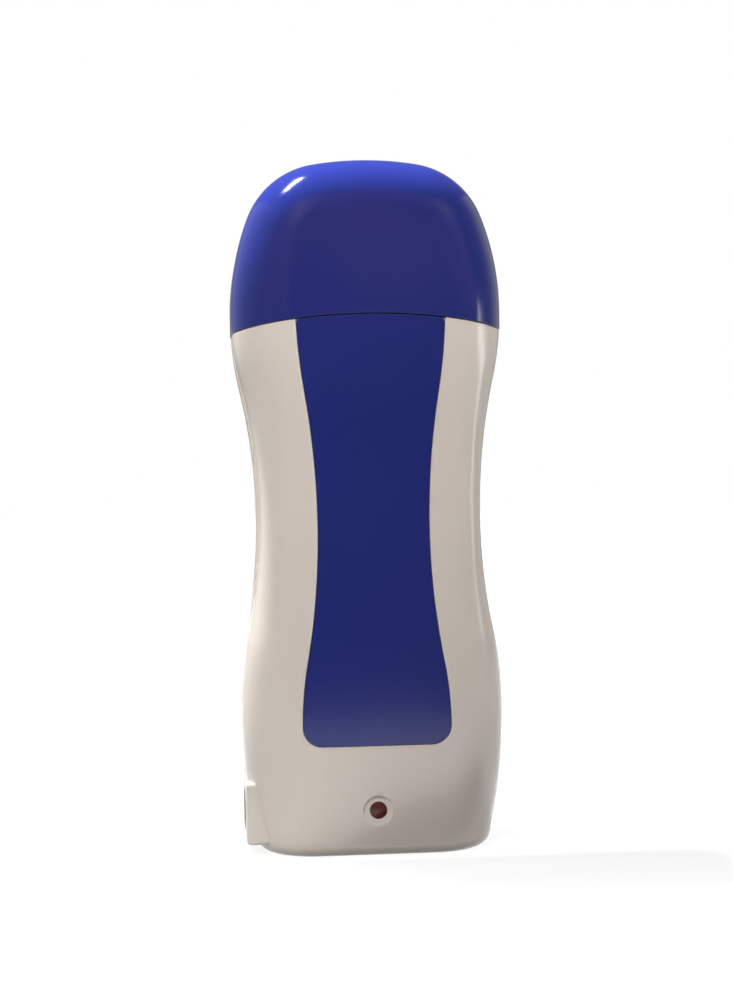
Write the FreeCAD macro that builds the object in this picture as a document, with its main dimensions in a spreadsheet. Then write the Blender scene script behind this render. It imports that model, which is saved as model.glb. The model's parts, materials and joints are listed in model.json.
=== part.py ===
"""Roll-on wax heater with its wax cartridge, as a parametric document in millimetres.

Frame: +X to the right and -Y towards the viewer of the front, +Z up, with the origin on the
surface that the heater stands on, under the middle of its box.
"""

import FreeCAD, Part
import math
import os

import Sketcher
from FreeCAD import Placement, Rotation, Vector

# ---------------------------------------------------------------------------------------------
# Driving dimensions: name, millimetres, what it measures
# ---------------------------------------------------------------------------------------------

DRIVING_SIZES = [
    # Heights; each "half" further down is measured from the middle plane.
    ("overall_height", 203.3, "base to top of the crown"),
    ("crown_height", 44.3, "cap above its widest point, the shoulder"),
    ("waist_drop", 60.5, "grip below the shoulder"),
    ("bulge_height", 43, "widest point of the lower body"),
    # Outline in the front view, from the chamber outwards
    ("waist_room", 2, "between the chamber's side and the shell at the grip"),
    ("bulge_flare", 6.3, "bulge wider than the grip, on each side"),
    ("shoulder_flare", 7.4, "shoulder wider than the grip, on each side"),
    ("base_taper", 4.6, "base narrower than the bulge, on each side"),
    ("bulge_radius", 97, "convex arc above the bulge"),
    ("waist_radius", 168, "concave arc above the waist"),
    ("rear_waist_extra", 0.5, "how much wider the rear shell is at the waist"),
    ("crown_side_radius", 75.5, "side arc of the cap"),
    ("crown_corner_radius", 24.8, "corner arc of the cap"),
    ("crown_top_radius", 96, "top arc of the cap"),
    # Outline in the side view, from the heater stack outwards
    ("stack_room", 1.6, "between the clamp and the shell at the grip"),
    ("depth_bulge_flare", 1, "bulge deeper than the grip, front and rear"),
    ("depth_shoulder_flare", 2, "shoulder deeper than the grip, front and rear"),
    ("depth_base_taper", 3.2, "base shallower than the bulge, front and rear"),
    ("depth_bulge_radius", 600, "convex arc above the bulge"),
    ("depth_waist_radius", 400, "concave arc above the waist"),
    # Edges, walls and the seam between cap and body
    ("edge_radius", 17, "rounding along the front and rear edges, outside the grip"),
    ("waist_edge_radius", 10, "the same at the grip"),
    ("base_edge_radius", 2.5, "rounding round the base"),
    ("shell_wall", 2.2, "wall of the two body shells"),
    ("cap_wall", 2, "wall of the cap"),
    ("seam_radius", 180, "arch of the seam under the cap"),
    ("seam_drop", 1.7, "top of that arch below the shoulder"),
    ("seam_gap", 0.3, "gap between cap and shells"),
    # Inlay panel on the front
    ("panel_depth", 1.3, "thickness of the inlay"),
    ("panel_gap", 0.2, "groove round the inlay"),
    ("panel_bottom_height", 32.7, "lower edge"),
    ("panel_bulge_margin", 17.2, "from the bulge in to its widest point near the bottom"),
    ("panel_bulge_radius", 102, "convex arc above that point"),
    ("panel_waist_margin", 16.25, "from the grip in to its narrowest point"),
    ("panel_waist_drop", 2.5, "that point below the grip"),
    ("panel_waist_radius", 234, "concave arc above it"),
    ("panel_top_margin", 18.05, "from the shoulder in to its widest point at the top"),
    ("panel_top_rise", 6, "that point above the shoulder, hidden by the cap"),
    ("panel_corner_radius", 5.5, "lower corners"),
    ("peg_radius", 1.5, "pegs behind the inlay"),
    ("peg_reach", 2.2, "how far a peg passes behind the shell wall"),
    ("low_peg_height", 48, "lowest peg"),
    ("high_peg_drop", 19, "highest peg below the shoulder"),
    # Lamp
    ("lamp_height", 13.7, "centre of the lamp"),
    ("lens_radius", 2.5, "lens"),
    ("lens_flange_radius", 3.6, "flange behind the wall"),
    ("lens_flange_thickness", 1, "flange behind the wall"),
    ("lens_proud", 0.6, "dome in front of the dish"),
    ("dish_radius", 4.3, "shallow dish round the lens"),
    ("dish_depth", 0.5, "dish"),
    ("fit_gap", 0.05, "radial gap of a fixed pin in its hole"),
    # Case screws
    ("lower_screw_inset", 9.1, "lower pair, in from the bulge"),
    ("lower_screw_z", 37, "lower pair"),
    ("post_room", 0.3, "between the chamber and the posts of the upper pair"),
    ("post_radius", 4, "posts and sleeves round the screws"),
    ("screw_radius", 1.4, "thread"),
    ("screw_hole_radius", 1.7, "clearance hole"),
    ("screw_head_radius", 2.8, "head"),
    ("screw_head_height", 1.8, "head"),
    ("screw_well_radius", 3.1, "sunk well over the head"),
    ("screw_seat_depth", 9, "seat of the head, behind the joint plane"),
    ("screw_reach", 9, "thread in the front post"),
    # Heating chamber
    ("chamber_y", -1, "middle of the chamber"),
    ("chamber_floor_height", 50, "underside of the chamber"),
    ("chamber_drop", 12, "mouth of the chamber below the shoulder"),
    ("chamber_wall", 1.6, "wall"),
    ("cartridge_gap", 0.5, "gap round the cartridge"),
    # Neck that the cap is pushed over
    ("neck_inset_x", 3.6, "neck inside the shoulder, at the sides"),
    ("neck_inset_y", 3, "neck inside the shoulder, front and rear"),
    ("neck_wall", 1.6, "rim"),
    ("neck_plate", 2, "plate"),
    ("neck_rise", 8, "top of the rim above the shoulder"),
    # Support ribs between the front shell and the chamber
    ("rib_x", 12, "ribs, from the middle plane"),
    ("rib_thickness", 1.5, "ribs"),
    ("stack_rise", 6, "lower ends of the ribs and the plate above the chamber's floor"),
    ("stack_drop", 7, "upper ends of the ribs and the plate below the chamber's mouth"),
    ("seat_gap", 0.2, "between a rib and the piece that it steadies"),
    # Heater stack behind the chamber
    ("plate_width", 29, "aluminium plate"),
    ("plate_thickness", 1.5, "aluminium plate"),
    ("element_width", 20, "heating element"),
    ("element_bottom_height", 66, "heating element"),
    ("element_height", 50, "heating element"),
    ("element_thickness", 2.2, "heating element"),
    ("sheet_thickness", 0.3, "insulating sheet"),
    ("sheet_margin", 0.8, "overhang of the sheet round the element"),
    ("clamp_width", 11, "spring clamp"),
    ("clamp_thickness", 0.6, "spring clamp"),
    ("clamp_foot", 6.5, "foot of the clamp on the plate"),
    ("clamp_screw_radius", 1.1, "thread"),
    ("clamp_head_radius", 2, "head"),
    ("clamp_head_height", 1.2, "head"),
    ("thermostat_width", 10, "thermostat"),
    ("thermostat_height", 10, "thermostat"),
    ("thermostat_depth", 3.4, "thermostat"),
    ("thermostat_margin", 1.5, "below the plate's upper edge"),
    ("fuse_radius", 1.6, "thermal fuse"),
    ("fuse_length", 11, "thermal fuse"),
    ("fuse_height", 80, "lower end of the fuse"),
    # Circuit board
    ("board_width", 34, "board"),
    ("board_height", 18, "board"),
    ("board_thickness", 1.6, "board"),
    ("board_x", 3, "middle of the board"),
    ("board_setback", 10.8, "front face of the board, behind the outline at the base"),
    ("board_bottom_height", 6, "lower edge"),
    ("board_post_radius", 2.4, "posts under the board"),
    ("board_screw_radius", 1.1, "thread"),
    ("board_head_radius", 1.9, "head"),
    ("board_head_height", 1.2, "head"),
    ("board_screw_inset", 4, "screws from the board's edges"),
    ("board_pilot_depth", 5, "pilot holes in the board's posts"),
    ("lamp_radius", 2.4, "bulb of the indicator"),
    ("lamp_length", 7, "bulb of the indicator"),
    ("lamp_leg_radius", 0.3, "legs of the indicator"),
    ("lamp_leg_spacing", 2.5, "legs of the indicator"),
    ("resistor_radius", 1.2, "resistors"),
    ("resistor_length", 6.5, "resistors"),
    # Power inlet
    ("inlet_proud", 3.6, "outer face, beyond the outline at the base"),
    ("inlet_half_depth", 17.3, "block, front and rear"),
    ("inlet_bottom_height", 2.6, "underside of the block"),
    ("inlet_top_height", 19.9, "top of the block"),
    ("inlet_reach", 14, "block, towards the inside"),
    ("inlet_wall", 1.8, "block"),
    ("socket_width", 16, "mouth of the socket, front to back"),
    ("socket_height", 10.4, "mouth of the socket"),
    ("socket_corner", 4.6, "mouth of the socket"),
    ("socket_wall", 1.1, "dark insert"),
    ("socket_depth", 11, "mouth of the socket"),
    ("pin_radius", 1.15, "contact pins"),
    ("pin_spacing", 8.6, "contact pins"),
    ("pin_setback", 2, "pin ends behind the face"),
    ("pin_length", 14, "contact pins"),
    # Cartridge
    ("bottle_width", 52, "bottle"),
    ("bottle_depth", 33, "bottle"),
    ("bottle_corner_radius", 12, "bottle"),
    ("bottle_rise", 1.5, "shoulder of the bottle above the chamber's mouth"),
    ("bottle_wall", 1.2, "bottle"),
    ("bottle_rest_gap", 0.3, "under the bottle"),
    ("wax_drop", 8.5, "level of the wax below the bottle's shoulder"),
    ("head_height", 8, "base of the applicator head"),
    ("head_inset", 0.3, "head inside the outline of the bottle"),
    ("plug_depth", 4, "plug of the head in the bottle"),
    ("cradle_lip", 1.1, "cradle beyond the roller's trough, front and rear"),
    ("cradle_drop", 5.5, "top of the cradle below the roller's axis"),
    ("channel_half_width", 15, "wax channel under the roller"),
    ("channel_half_depth", 4, "wax channel under the roller"),
    ("roller_radius", 10, "roller"),
    ("roller_length", 43, "roller"),
    ("roller_rise", 33, "roller axis above the bottle's shoulder"),
    ("roller_gap", 0.4, "film gap round the roller"),
    ("roller_end_gap", 0.4, "between the roller and each ear"),
    ("axle_radius", 1.5, "axle"),
    ("axle_running_gap", 0.08, "radial, between axle and roller"),
    ("ear_thickness", 3, "ears of the head"),
    ("ear_radius", 5, "round top of an ear"),
    # Leads
    ("lead_radius", 0.8, "insulated lead"),
]


class Size:
    """A length in millimetres, together with the spreadsheet expression that gives it."""

    def __init__(self, value, text):
        self.value = float(value)
        self.text = text

    @staticmethod
    def of(other):
        return other if isinstance(other, Size) else Size(other, repr(float(other)))

    def __add__(self, other):
        other = Size.of(other)
        return Size(self.value + other.value, f"({self.text} + {other.text})")

    def __sub__(self, other):
        other = Size.of(other)
        return Size(self.value - other.value, f"({self.text} - {other.text})")

    def __mul__(self, other):
        other = Size.of(other)
        return Size(self.value * other.value, f"({self.text} * {other.text})")

    def __truediv__(self, other):
        other = Size.of(other)
        return Size(self.value / other.value, f"({self.text} / {other.text})")

    def root(self):
        return Size(math.sqrt(self.value), f"sqrt({self.text})")

    def arccosine(self):
        """The angle in degrees."""
        return Size(math.degrees(math.acos(self.value)), f"acos({self.text})")

    def cosine(self):
        return Size(math.cos(math.radians(self.value)), f"cos({self.text})")

    def sine(self):
        return Size(math.sin(math.radians(self.value)), f"sin({self.text})")

    def __radd__(self, other):
        return Size.of(other) + self

    def __rsub__(self, other):
        return Size.of(other) - self

    def __rmul__(self, other):
        return Size.of(other) * self

    def __neg__(self):
        return Size(0, "0") - self


class Sizes:
    """The driving dimensions by name, each backed by an aliased cell of the spreadsheet."""

    def __init__(self, document, table):
        self.sheet = document.addObject("Spreadsheet::Sheet", "Sizes")
        self.rows = 0
        for name, value, note in table:
            self.add(name, value, str(value), note)
        document.recompute()

    def add(self, name, value, content, note):
        """Fill the next row of the sheet, and keep the size under its name."""
        self.rows += 1
        self.sheet.set(f"A{self.rows}", name)
        self.sheet.set(f"B{self.rows}", content)
        self.sheet.set(f"C{self.rows}", note)
        self.sheet.setAlias(f"B{self.rows}", name)
        setattr(self, name, Size(value, f"Sizes.{name}"))

    def work_out(self, name, size, note):
        """Give a size that follows from others a cell and a name of its own."""
        self.add(name, size.value, "=" + size.text.replace("Sizes.", ""), note)
        return getattr(self, name)


doc = FreeCAD.newDocument("RollOnWaxHeater")
s = Sizes(doc, DRIVING_SIZES)
ZERO = Size(0, "0")
FAR = Size(60, "60")  # reaches past every face of the heater
CAP_SKIRT = 12  # how far the cap's form runs below its widest point, past the seam


def work_out_sizes(work_out):
    """Give the sizes that follow from the driving ones a cell each."""
    shoulder = work_out("shoulder_height", s.overall_height - s.crown_height, "widest point of the cap")
    waist = work_out("waist_height", shoulder - s.waist_drop, "grip")
    work_out("seam_height", shoulder - s.seam_drop, "top of the seam's arch")
    mouth = work_out("chamber_top_height", shoulder - s.chamber_drop, "mouth of the chamber")
    work_out("neck_top_height", shoulder + s.neck_rise, "top of the neck's rim")
    work_out("stack_bottom_height", s.chamber_floor_height + s.stack_rise, "ribs and plate")
    work_out("stack_top_height", mouth - s.stack_drop, "ribs and plate")
    bottle_top = work_out("bottle_top_height", mouth + s.bottle_rise, "shoulder of the bottle")
    work_out("wax_height", bottle_top - s.wax_drop, "level of the wax")
    axis = work_out("roller_height", bottle_top + s.roller_rise, "roller axis")
    work_out("cradle_height", axis - s.cradle_drop, "top of the cradle under the roller")
    work_out("cradle_half_depth", s.roller_radius + s.roller_gap + s.cradle_lip, "cradle, front and rear")

    room = s.cartridge_gap + s.chamber_wall
    chamber = work_out("chamber_half_width", s.bottle_width / 2 + room, "outside of the chamber")
    grip = work_out("waist_half_width", chamber + s.waist_room + s.shell_wall, "grip, front shell")
    bulge = work_out("bulge_half_width", grip + s.bulge_flare, "widest point of the lower body")
    top = work_out("shoulder_half_width", grip + s.shoulder_flare, "widest point of the cap")
    base = work_out("base_half_width", bulge - s.base_taper, "outline at the base")
    work_out("inlet_face_x", base + s.inlet_proud, "outer face of the power inlet")
    work_out("upper_screw_x", chamber + s.post_room + s.post_radius, "upper pair of case screws")
    work_out("lower_screw_x", bulge - s.lower_screw_inset, "lower pair of case screws")

    back = work_out("chamber_back_y", s.chamber_y + s.bottle_depth / 2 + room, "rear of the chamber")
    stack = s.plate_thickness + s.element_thickness + s.sheet_thickness + s.clamp_thickness
    deep = work_out("waist_half_depth", back + stack + s.stack_room + s.shell_wall, "grip")
    deep_bulge = work_out("bulge_half_depth", deep + s.depth_bulge_flare, "lower body")
    work_out("shoulder_half_depth", deep + s.depth_shoulder_flare, "deepest point of the cap")
    foot = work_out("base_half_depth", deep_bulge - s.depth_base_taper, "outline at the base")
    work_out("board_y", foot - s.board_setback, "front face of the board, ahead of the joint plane")

    work_out("panel_bulge_half_width", bulge - s.panel_bulge_margin, "inlay near the bottom")
    work_out("panel_waist_half_width", grip - s.panel_waist_margin, "inlay at its narrowest")
    work_out("panel_waist_height", waist - s.panel_waist_drop, "height of that point")
    work_out("panel_top_half_width", top - s.panel_top_margin, "inlay at the top")
    work_out("panel_top_height", shoulder + s.panel_top_rise, "height of that point")
    work_out("high_peg_height", shoulder - s.high_peg_drop, "highest peg behind the inlay")


work_out_sizes(s.work_out)


# ---------------------------------------------------------------------------------------------
# Sketch helpers
# ---------------------------------------------------------------------------------------------

def bind(thing, prop, size):
    """Set a property of a document object from a size, and keep it bound to the sheet."""
    thing.setExpression(prop, Size.of(size).text)


def constrain(sketch, kind, *where, size):
    """Add a dimension to a sketch and bind it to the sheet."""
    index = sketch.addConstraint(Sketcher.Constraint(kind, *where, size.value))
    bind(sketch, f"Constraints[{index}]", size)


def pin_point(sketch, curve, end, x, y):
    """Dimension one point of a curve from the sketch's origin."""
    constrain(sketch, "DistanceX", -1, 1, curve, end, size=Size.of(x))
    constrain(sketch, "DistanceY", -1, 1, curve, end, size=Size.of(y))


def polygon(sketch, points):
    """A closed outline of straight lines through dimensioned corners."""
    corners = [(Size.of(x), Size.of(y)) for x, y in points]
    spots = [Vector(x.value, y.value, 0) for x, y in corners]
    sides = [Part.LineSegment(*pair) for pair in zip(spots, spots[1:] + spots[:1])]
    first = sketch.GeometryCount
    sketch.addGeometry(sides)
    joints, dimensions = [], []
    for index, (x, y) in enumerate(corners):
        line, following = first + index, first + (index + 1) % len(corners)
        joints.append(Sketcher.Constraint("Coincident", line, 2, following, 1))
        dimensions.append((Sketcher.Constraint("DistanceX", -1, 1, line, 1, x.value), x))
        dimensions.append((Sketcher.Constraint("DistanceY", -1, 1, line, 1, y.value), y))
    sketch.addConstraint(joints)
    indices = sketch.addConstraint([constraint for constraint, _ in dimensions])
    for index, (_, size) in zip(indices, dimensions):
        bind(sketch, f"Constraints[{index}]", size)


def rectangle(sketch, left, right, low, high):
    """A closed rectangle between two pairs of dimensioned sides."""
    polygon(sketch, [(left, low), (right, low), (right, high), (left, high)])


def circle(sketch, x, y, radius):
    """A dimensioned circle."""
    x, y, radius = Size.of(x), Size.of(y), Size.of(radius)
    centre = Vector(x.value, y.value, 0)
    index = sketch.addGeometry(Part.Circle(centre, Vector(0, 0, 1), radius.value))
    pin_point(sketch, index, 3, x, y)
    constrain(sketch, "Radius", index, size=radius)


def rounded_rectangle(sketch, left, right, low, high, radius):
    """A closed rectangle between dimensioned sides, with four equal round corners."""
    left, right, low, high, radius = [Size.of(v) for v in (left, right, low, high, radius)]
    x0, x1, y0, y1, r = left.value, right.value, low.value, high.value, radius.value
    ends = [(x0 + r, y0), (x1 - r, y0), (x1, y0 + r), (x1, y1 - r),
            (x1 - r, y1), (x0 + r, y1), (x0, y1 - r), (x0, y0 + r)]
    centres = [(x1 - r, y0 + r), (x1 - r, y1 - r), (x0 + r, y1 - r), (x0 + r, y0 + r)]
    lines, corners = [], []
    for index, centre in enumerate(centres):
        start, finish, after = ends[2 * index], ends[2 * index + 1], ends[(2 * index + 2) % 8]
        lines.append(sketch.addGeometry(Part.LineSegment(Vector(*start, 0), Vector(*finish, 0))))
        corners.append(arc(sketch, centre, r, finish, after, True)[0])
    for index, (line, corner) in enumerate(zip(lines, corners)):
        following = lines[(index + 1) % 4]
        sketch.addConstraint(Sketcher.Constraint("Tangent", line, 2, corner, 1))
        sketch.addConstraint(Sketcher.Constraint("Tangent", corner, 2, following, 1))
        constrain(sketch, "Radius", corner, size=radius)
    for line, kind, end, size in ((lines[0], "DistanceY", 1, low), (lines[1], "DistanceX", 1, right),
                                  (lines[2], "DistanceY", 1, high), (lines[3], "DistanceX", 1, left)):
        constrain(sketch, kind, -1, 1, line, end, size=size)
        sketch.addConstraint(
            Sketcher.Constraint("Horizontal" if kind == "DistanceY" else "Vertical", line))


def arc(sketch, centre, radius, start, finish, counter_clockwise):
    """An arc between two points; returns the curve and the ends for its start and finish."""
    first, last = (start, finish) if counter_clockwise else (finish, start)
    angles = [math.atan2(p[1] - centre[1], p[0] - centre[0]) for p in (first, last)]
    if angles[1] < angles[0]:
        angles[1] += 2 * math.pi
    ring = Part.Circle(Vector(centre[0], centre[1], 0), Vector(0, 0, 1), radius)
    curve = sketch.addGeometry(Part.ArcOfCircle(ring, angles[0], angles[1]))
    return (curve, 1, 2) if counter_clockwise else (curve, 2, 1)


def join(sketch, kind, lower, upper):
    """Join the finish of one arc to the start of the next, Coincident or Tangent."""
    sketch.addConstraint(Sketcher.Constraint(kind, lower[0], lower[2], upper[0], upper[1]))


class WaistedOutline:
    """One side of a waisted outline: a foot, a bulge, a waist and a shoulder joined by arcs.

    The outline is upright at the bulge, the waist and the shoulder, so the arcs' centres lie at
    those heights. One radius of each pair is given, and tangency sets the other.
    """

    def __init__(self, foot, bulge, bulge_radius, waist, waist_radius, shoulder):
        self.foot, self.bulge, self.waist, self.shoulder = foot, bulge, waist, shoulder
        self.foot_radius = self.radii_sum(foot, bulge)
        self.bulge_radius = bulge_radius
        self.hollow_radius = self.radii_sum(bulge, waist) - bulge_radius
        self.waist_radius = waist_radius
        self.shoulder_radius = self.radii_sum(waist, shoulder) - waist_radius

    @staticmethod
    def radii_sum(narrow, wide):
        """The sum of the radii of two tangent arcs that are upright at these two points."""
        across, up = wide[0] - narrow[0], wide[1] - narrow[1]
        if across.value < 0:
            across = -across
        return (across * across + up * up) / (2 * across)

    def joint_heights(self):
        """Where the outline's arcs meet."""
        (_, low), (_, middle), (_, high) = self.bulge, self.waist, self.shoulder
        lower = low + (middle - low) * self.bulge_radius / (self.bulge_radius + self.hollow_radius)
        upper_sum = self.waist_radius + self.shoulder_radius
        upper = middle + (high - middle) * self.waist_radius / upper_sum
        return lower, upper

    def stations(self, spans):
        """Heights along the outline, each arc being divided into a number of spans."""
        lower, upper = self.joint_heights()
        marks = [self.foot[1], self.bulge[1], lower, self.waist[1], upper, self.shoulder[1]]
        heights = [marks[0]]
        for start, finish, count in zip(marks, marks[1:], spans):
            heights += [start + (finish - start) * step / count for step in range(1, count + 1)]
        return heights

    def half_at(self, height):
        """The outline's distance from the middle plane at a height."""
        lower, upper = self.joint_heights()
        arcs = [(self.bulge[1], self.bulge, self.foot_radius, True),
                (lower, self.bulge, self.bulge_radius, True),
                (self.waist[1], self.waist, self.hollow_radius, False),
                (upper, self.waist, self.waist_radius, False),
                (self.shoulder[1], self.shoulder, self.shoulder_radius, True)]
        tolerance = 1e-9
        _, upright, radius, convex = next(a for a in arcs if height.value <= a[0].value + tolerance)
        rise = height - upright[1]
        sagitta = radius - (radius * radius - rise * rise).root()
        return upright[0] - sagitta if convex else upright[0] + sagitta

    def draw_above_bulge(self, sketch, side):
        """Draw the four upper arcs on the side +1 or -1; returns the lowest and the highest."""
        lower, upper = self.joint_heights()
        points = [(side * self.half_at(height).value, height.value)
                  for height in (self.bulge[1], lower, self.waist[1], upper, self.shoulder[1])]
        kinds = [(self.bulge, self.bulge_radius, True), (self.waist, self.hollow_radius, False),
                 (self.waist, self.waist_radius, False), (self.shoulder, self.shoulder_radius, True)]
        pieces = []
        for (upright, radius, convex), start, finish in zip(kinds, points, points[1:]):
            towards_middle = -radius if convex else radius
            centre = (side * (upright[0] + towards_middle).value, upright[1].value)
            piece = arc(sketch, centre, radius.value, start, finish, convex == (side > 0))
            constrain(sketch, "DistanceY", -1, 1, piece[0], 3, size=upright[1])
            pieces.append(piece)
        belly, hollow, grip, top = pieces
        join(sketch, "Tangent", belly, hollow)
        join(sketch, "Coincident", hollow, grip)
        join(sketch, "Tangent", grip, top)
        pinned = ((belly, 1, self.bulge), (hollow, 2, self.waist), (top, 2, self.shoulder))
        for piece, end, (half, height) in pinned:
            pin_point(sketch, piece[0], piece[end], side * half, height)
        constrain(sketch, "Radius", belly[0], size=self.bulge_radius)
        constrain(sketch, "Radius", grip[0], size=self.waist_radius)
        return belly, top


# ---------------------------------------------------------------------------------------------
# Body helpers
# ---------------------------------------------------------------------------------------------

def new_body(label):
    """An empty PartDesign body under its own name."""
    body = doc.addObject("PartDesign::Body", label)
    body.Label = label
    return body


def origin_plane(body, role):
    """One of the body's own three planes."""
    return next(feature for feature in body.Origin.OriginFeatures if feature.Role == role)


def new_sketch(body, plane, offset=ZERO):
    """A sketch on one of the body's own planes, moved along that plane's normal."""
    sketch = body.newObject("Sketcher::SketchObject", body.Label + "_sketch")
    sketch.AttachmentSupport = [(origin_plane(body, plane), "")]
    sketch.MapMode = "FlatFace"
    bind(sketch, "AttachmentOffset.Base.z", offset)
    return sketch


def pad(body, sketch, length, symmetric=False):
    """Extrude a sketch along its normal, or to both sides."""
    feature = body.newObject("PartDesign::Pad", body.Label + "_pad")
    feature.Profile = sketch
    bind(feature, "Length", length)
    feature.SideType = "Symmetric" if symmetric else "One side"
    doc.recompute()


def pocket(body, sketch, length=None, symmetric=False, flip=False):
    """Cut a sketch into the body, right through where no length is given."""
    before = body.Shape.Volume
    feature = body.newObject("PartDesign::Pocket", body.Label + "_pocket")
    feature.Profile = sketch
    if length is None:
        feature.Type = "ThroughAll"
    else:
        bind(feature, "Length", length)
    feature.SideType = "Symmetric" if symmetric else "One side"
    feature.Reversed = flip
    doc.recompute()
    if body.Shape.Volume >= before:
        raise ValueError(f"a pocket of {body.Label} cuts nothing")


def loft(body, sections):
    """Join sections by straight rulings."""
    feature = body.newObject("PartDesign::AdditiveLoft", body.Label + "_loft")
    feature.Profile = sections[0]
    feature.Sections = sections[1:]
    feature.Ruled = True
    doc.recompute()
    return feature


def mirror(body, feature, plane):
    """Add a feature's mirror image about one of the body's own planes."""
    image = body.newObject("PartDesign::Mirrored", body.Label + "_mirror")
    image.Originals = [feature]
    image.MirrorPlane = (origin_plane(body, plane), [""])
    body.Tip = image
    doc.recompute()


def revolve(body, sketch, axis):
    """Turn a sketch through a full circle about one of its own axes."""
    feature = body.newObject("PartDesign::Revolution", body.Label + "_revolution")
    feature.Profile = sketch
    feature.ReferenceAxis = (sketch, [axis])
    feature.Angle = 360
    doc.recompute()


def box(label, low, high):
    """A box between two corners, each side bound to the sheet."""
    solid = doc.addObject("Part::Box", label)
    solid.Label = label
    for prop, axis, start, finish in zip(("Length", "Width", "Height"), "xyz", low, high):
        bind(solid, prop, Size.of(finish) - start)
        bind(solid, f"Placement.Base.{axis}", start)
    return solid


TURN_TO = {"x": Rotation(Vector(0, 1, 0), 90), "y": Rotation(Vector(1, 0, 0), -90), "z": Rotation()}


def lay(solid, label, start, axis, length):
    """Start a round or many-sided solid at a point, along +x, +y or +z."""
    solid.Label = label
    solid.Placement = Placement(Vector(), TURN_TO[axis])
    bind(solid, "Height", length)
    for name, value in zip("xyz", start):
        bind(solid, f"Placement.Base.{name}", value)


def cylinder(label, start, axis, radius, length):
    """A cylinder from a point along an axis."""
    solid = doc.addObject("Part::Cylinder", label)
    bind(solid, "Radius", radius)
    lay(solid, label, start, axis, length)
    return solid


def prism(label, start, axis, radius, length, sides=8):
    """A small rod made up of flats, from a point along an axis; its corners lie at the radius."""
    solid = doc.addObject("Part::Prism", label)
    solid.Polygon = sides
    bind(solid, "Circumradius", radius)
    lay(solid, label, start, axis, length)
    return solid


def common(label, *solids):
    """What the solids share."""
    result = doc.addObject("Part::MultiCommon", label)
    result.Label = label
    result.Shapes = list(solids)
    return result


def fuse(label, *solids):
    """The solids joined into one."""
    result = doc.addObject("Part::MultiFuse", label)
    result.Label = label
    result.Shapes = list(solids)
    return result


def cut(label, base, tool):
    """The base without the tool."""
    result = doc.addObject("Part::Cut", label)
    result.Label = label
    result.Base = base
    result.Tool = tool
    return result


def group(label, solids):
    """Separate solids that share one node."""
    result = doc.addObject("Part::Compound", label)
    result.Label = label
    result.Links = list(solids)
    return result


# ---------------------------------------------------------------------------------------------
# Outer and inner forms of the housing
# ---------------------------------------------------------------------------------------------

OUTER_SPANS = (3, 3, 2, 3, 2)  # divisions of the outline's five arcs on the outside
INNER_SPANS = (2, 2, 1, 2, 2)  # and on the inside of the walls
OUTER_CORNER_STEPS = 6  # flats that make up a quarter round outside
INNER_CORNER_STEPS = 3  # and inside
BASE_CORNER_STEPS = 3  # flats that make up the round at the base
OUTER_CROWN_STEPS = (4, 6, 3)  # flats of the crown's side arc, corner arc and half the top arc
INNER_CROWN_STEPS = (3, 4, 1)


def quarter_turn(steps):
    """The sine and cosine of evenly spaced angles through a quarter turn."""
    angles = [math.pi / 2 * step / steps for step in range(steps + 1)]
    return [(math.sin(angle), math.cos(angle)) for angle in angles]


def mirrored_round(points):
    """A closed outline from its quarter in +x and +y, whose ends don't lie on the axes."""
    left = [(-x, y) for x, y in reversed(points)]
    return points + left + [(x, -y) for x, y in reversed(points + left)]


def section_points(half_x, half_y, radius, steps):
    """A rectangle round the axis, whose quarter-round corners are made up of flats."""
    quarter = [(half_x - radius * (1 - cosine), half_y - radius * (1 - sine))
               for sine, cosine in quarter_turn(steps)]
    return mirrored_round(quarter)


def front_outline(waist_extra=ZERO):
    """The body's outline seen from the front."""
    return WaistedOutline(
        (s.base_half_width, ZERO), (s.bulge_half_width, s.bulge_height), s.bulge_radius,
        (s.waist_half_width + waist_extra, s.waist_height), s.waist_radius,
        (s.shoulder_half_width, s.shoulder_height))


def side_outline():
    """The body's outline seen from the side."""
    return WaistedOutline(
        (s.base_half_depth, ZERO), (s.bulge_half_depth, s.bulge_height), s.depth_bulge_radius,
        (s.waist_half_depth, s.waist_height), s.depth_waist_radius,
        (s.shoulder_half_depth, s.shoulder_height))


def edge_radius_at(height):
    """The rounding along the front and rear edges, which is tighter at the grip."""
    below = height.value < s.waist_height.value
    end = s.bulge_height if below else s.shoulder_height
    if below and height.value < end.value:
        return s.edge_radius
    share = (height - s.waist_height) / (end - s.waist_height)
    tightness = 1 - share * share
    return s.edge_radius - (s.edge_radius - s.waist_edge_radius) * tightness * tightness


def body_form(label, spans, corner_steps, waist_extra=ZERO, inset=ZERO, base_radius=ZERO):
    """The shape of the body below the cap: a loft of rounded sections that follow both outlines.

    An inset form starts on the floor, which is as thick as the inset.
    """
    front, side = front_outline(waist_extra), side_outline()
    base = [(inset, inset)]
    if base_radius.value > 0:
        base = [(base_radius * (1 - cosine), base_radius * (1 - sine))
                for sine, cosine in quarter_turn(BASE_CORNER_STEPS)]
    levels = base + [(height, inset) for height in front.stations(spans)[1:]]
    body = new_body(label)
    sections = []
    for height, moved_in in levels:
        half_x, half_y = front.half_at(height) - moved_in, side.half_at(height) - moved_in
        section = new_sketch(body, "XY_Plane", height)
        radius = edge_radius_at(height) - moved_in
        polygon(section, section_points(half_x, half_y, radius, corner_steps))
        sections.append(section)
    loft(body, sections)
    return body


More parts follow.
